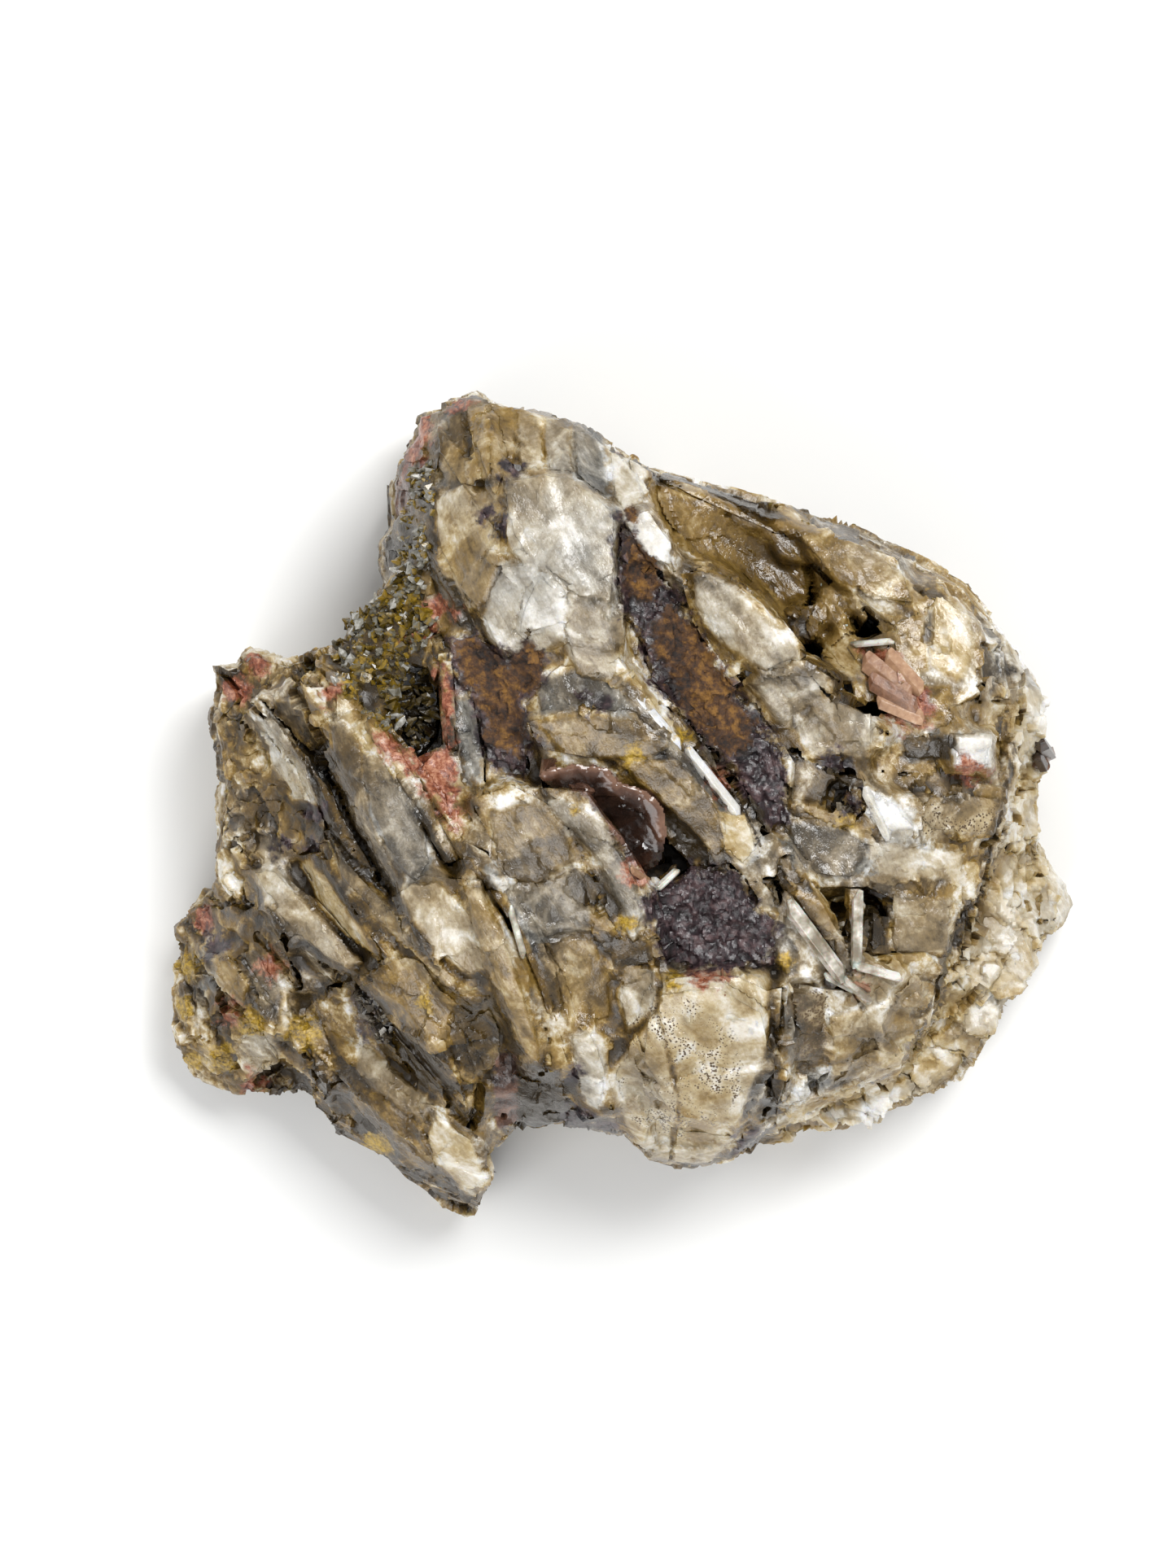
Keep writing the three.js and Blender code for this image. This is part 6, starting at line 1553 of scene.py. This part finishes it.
def prism_seed(name, sides, number):
    """A prism of unit length along x with slanting, broken ends."""
    bpy.ops.object.select_all(action="DESELECT")
    bpy.ops.mesh.primitive_cylinder_add(vertices=sides, radius=0.5, depth=0.8, rotation=(0, math.pi / 2, 0))
    seed = bpy.context.object
    seed.name = name
    bpy.ops.object.transform_apply(rotation=True)
    bpy.ops.object.mode_set(mode="EDIT")
    bpy.ops.mesh.select_all(action="DESELECT")
    bpy.ops.object.mode_set(mode="OBJECT")
    for sign, shift in ((-1, 0.22), (1, -0.18)):
        for face in seed.data.polygons:
            face.select = face.normal.x * sign > 0.9
        bpy.ops.object.mode_set(mode="EDIT")
        bpy.ops.mesh.select_mode(type="FACE")
        bpy.ops.mesh.extrude_region_move(TRANSFORM_OT_translate={"value": (0.1 * sign, shift, -0.1)})
        bpy.ops.transform.resize(value=(1, 0.5, 0.6))
        bpy.ops.mesh.select_all(action="DESELECT")
        bpy.ops.object.mode_set(mode="OBJECT")
    bpy.ops.object.mode_set(mode="EDIT")
    bpy.ops.mesh.select_all(action="SELECT")
    bpy.ops.transform.vertex_random(offset=0.035, seed=number)
    bpy.ops.mesh.normals_make_consistent(inside=False)
    bpy.ops.object.mode_set(mode="OBJECT")
    return seed


class SPECIMEN_OT_prisms(bpy.types.Operator):
    """Stands the clear prisms, the pale and copper blades and the brown lump on the mass"""
    bl_idname = "specimen.prisms"
    bl_label = "Prisms and Blades"

    def execute(self, context):
        rng = np.random.default_rng(57)
        set_crystals("clear_prisms", prism_seed("prism", 6, 3), CLEAR_PRISMS, clear_material(), rng)
        stained = bpy.data.materials["iron_stained_celestite"]
        blades = set_crystals("pale_blades", prism_seed("blade", 4, 5), PALE_BLADES, stained, rng)
        grown_fields(blades)
        for key, value in (("clean", 1.0), ("light", 0.74), ("warmth", 0.15)):
            store(blades.data, key, np.full(len(blades.data.vertices), value))
        # Thin blades stained copper brown, satin on their cleaved sides.
        copper = grain_material("copper_stained_blades", COPPER, 0.25, 0.1)
        set_crystals("copper_blades", prism_seed("fan", 4, 8), COPPER_BLADES, copper, rng)
        # A weathered brown lump with a dull gloss.
        brown = grain_material("brown_lump", BROWN, 0.2, 0.1)
        set_crystals("edge_lump", prism_seed("lump", 5, 9), EDGE_LUMP, brown, rng)
        return {"FINISHED"}


class SPECIMEN_OT_horn(bpy.types.Operator):
    """Shapes the glossy chocolate-brown crystal that curves over the middle hollow"""
    bl_idname = "specimen.horn"
    bl_label = "Chocolate Horn"

    OUTLINE = [(66.0, 95.2), (68.2, 94.2), (71, 93.9), (74.2, 94.2), (75.8, 96), (79.6, 97.2), (81.2, 99.2),
               (81.6, 102.4), (80.6, 105.8), (78.6, 107), (76.4, 104.2), (74.8, 100.8), (71.4, 98), (68, 97)]
    CREST = OUTLINE[:8]
    TOP = 51.4  # mm, the height of the crest at its upper end

    def execute(self, context):
        heights = specimen_heights()
        u, v = plan_grid(64.5, 92.5, 90, 80, FINE_CELL)
        inside = polygon_distance(u, v, self.OUTLINE) + 0.25 * uneven(u, v, 1.5, 9, 2)
        crest = line_distance(u, v, self.CREST)
        level = self.TOP - 0.16 * (v - 94) - 0.09 * (u - 66) - 0.30 * crest ** 1.3
        level += 0.4 * smoothstep(0, 0.6, inside)
        horn = height_sheet("chocolate_horn", u, v, level, inside > 0, 4, 1)
        finish_crystal(horn, heights, (0.3, 0.6, 0.4, 0, 0))
        # Chocolate-brown crystal as glossy as resin, palest along its crest.
        glossy = grain_material("chocolate_crystal", CHOCOLATE, 0.06, 0.2, 1.6)
        crest = line_distance(*plan_of(coordinates(horn.data)), self.CREST)
        store(horn.data, "tint", smoothstep(2.6, 0, crest))
        horn.data.materials.append(glossy)
        return {"FINISHED"}


FRAME_WIDTH, FRAME_HEIGHT = 1445, 1927  # pixels
PIXEL = 0.1  # mm of the specimen to a pixel
FOCUS = 30  # mm, the height at which that scale is true
SENSOR = 36  # mm


class SPECIMEN_OT_studio(bpy.types.Operator):
    """Sets the floor, the soft lights and the camera that looks straight down"""
    bl_idname = "specimen.studio"
    bl_label = "Studio"

    def execute(self, context):
        studio = context.scene.studio
        bpy.ops.object.select_all(action="DESELECT")
        bpy.ops.mesh.primitive_plane_add(size=3.0, location=(0, 0, 0))
        floor = context.object
        floor.name = "floor"
        material, tree, shader = principled("white_paper_sweep")
        shader.inputs["Base Color"].default_value = studio.floor_colour
        shader.inputs["Roughness"].default_value = 0.9
        floor.data.materials.append(material)

        lights = [  # name, place, size, share of the key light's power
            ("key_softbox", (0.34, 0.46, 1.05), 0.5, 1.0),
            ("fill_softbox", (-0.45, -0.65, 0.95), 0.8, 0.6),
        ]
        for name, place, size, share in lights:
            bpy.ops.object.light_add(type="AREA", location=place)
            light = context.object
            light.name = name
            light.data.size = size
            light.data.energy = studio.key_power * share
            light.rotation_euler = (Vector((0, 0, 0.02)) - Vector(place)).to_track_quat("-Z", "Y").to_euler()

        world = bpy.data.worlds.new("soft_surround")
        context.scene.world = world
        world.use_nodes = True
        world.node_tree.nodes["Background"].inputs[0].default_value = linear("#F4F6FA")
        world.node_tree.nodes["Background"].inputs[1].default_value = 0.5

        place = at(FRAME_WIDTH * PIXEL / 2, FRAME_HEIGHT * PIXEL / 2, FOCUS)
        place.z += studio.camera_height
        bpy.ops.object.camera_add(location=place, rotation=(0, 0, 0))
        camera = context.object
        camera.data.sensor_width = SENSOR
        camera.data.lens = SENSOR * studio.camera_height / (FRAME_HEIGHT * PIXEL * MM)
        camera.data.clip_end = 20
        context.scene.camera = camera
        context.scene.view_settings.view_transform = "Standard"
        return {"FINISHED"}


class SPECIMEN_PT_panel(bpy.types.Panel):
    """Lists the settings and the pieces"""
    bl_label = "Celestite Cluster"
    bl_idname = "SPECIMEN_PT_panel"
    bl_space_type = "VIEW_3D"
    bl_region_type = "UI"
    bl_category = "Specimen"

    def draw(self, context):
        for group in (context.scene.specimen, context.scene.studio):
            for name in group.__annotations__:
                self.layout.prop(group, name)
        for operator in OPERATORS:
            self.layout.operator(operator.bl_idname)


OPERATORS = (SPECIMEN_OT_crystal_mass, SPECIMEN_OT_matrix, SPECIMEN_OT_iron_crust, SPECIMEN_OT_vug_druse,
             SPECIMEN_OT_druse, SPECIMEN_OT_prisms, SPECIMEN_OT_horn, SPECIMEN_OT_studio)
CLASSES = (SpecimenSettings, StudioSettings, *OPERATORS, SPECIMEN_PT_panel)


def register():
    """Adds the settings, the operators and the panel."""
    for cls in CLASSES:
        bpy.utils.register_class(cls)
    bpy.types.Scene.specimen = bpy.props.PointerProperty(type=SpecimenSettings)
    bpy.types.Scene.studio = bpy.props.PointerProperty(type=StudioSettings)


def unregister():
    """Takes them away again."""
    del bpy.types.Scene.studio
    del bpy.types.Scene.specimen
    for cls in reversed(CLASSES):
        bpy.utils.unregister_class(cls)


def main():
    """Builds the specimen and its studio."""
    register()
    bpy.ops.specimen.crystal_mass()
    bpy.ops.specimen.matrix()
    bpy.ops.specimen.iron_crust()
    bpy.ops.specimen.vug_druse()
    bpy.ops.specimen.druse()
    bpy.ops.specimen.prisms()
    bpy.ops.specimen.horn()
    bpy.ops.specimen.studio()


if __name__ == "__main__":
    main()
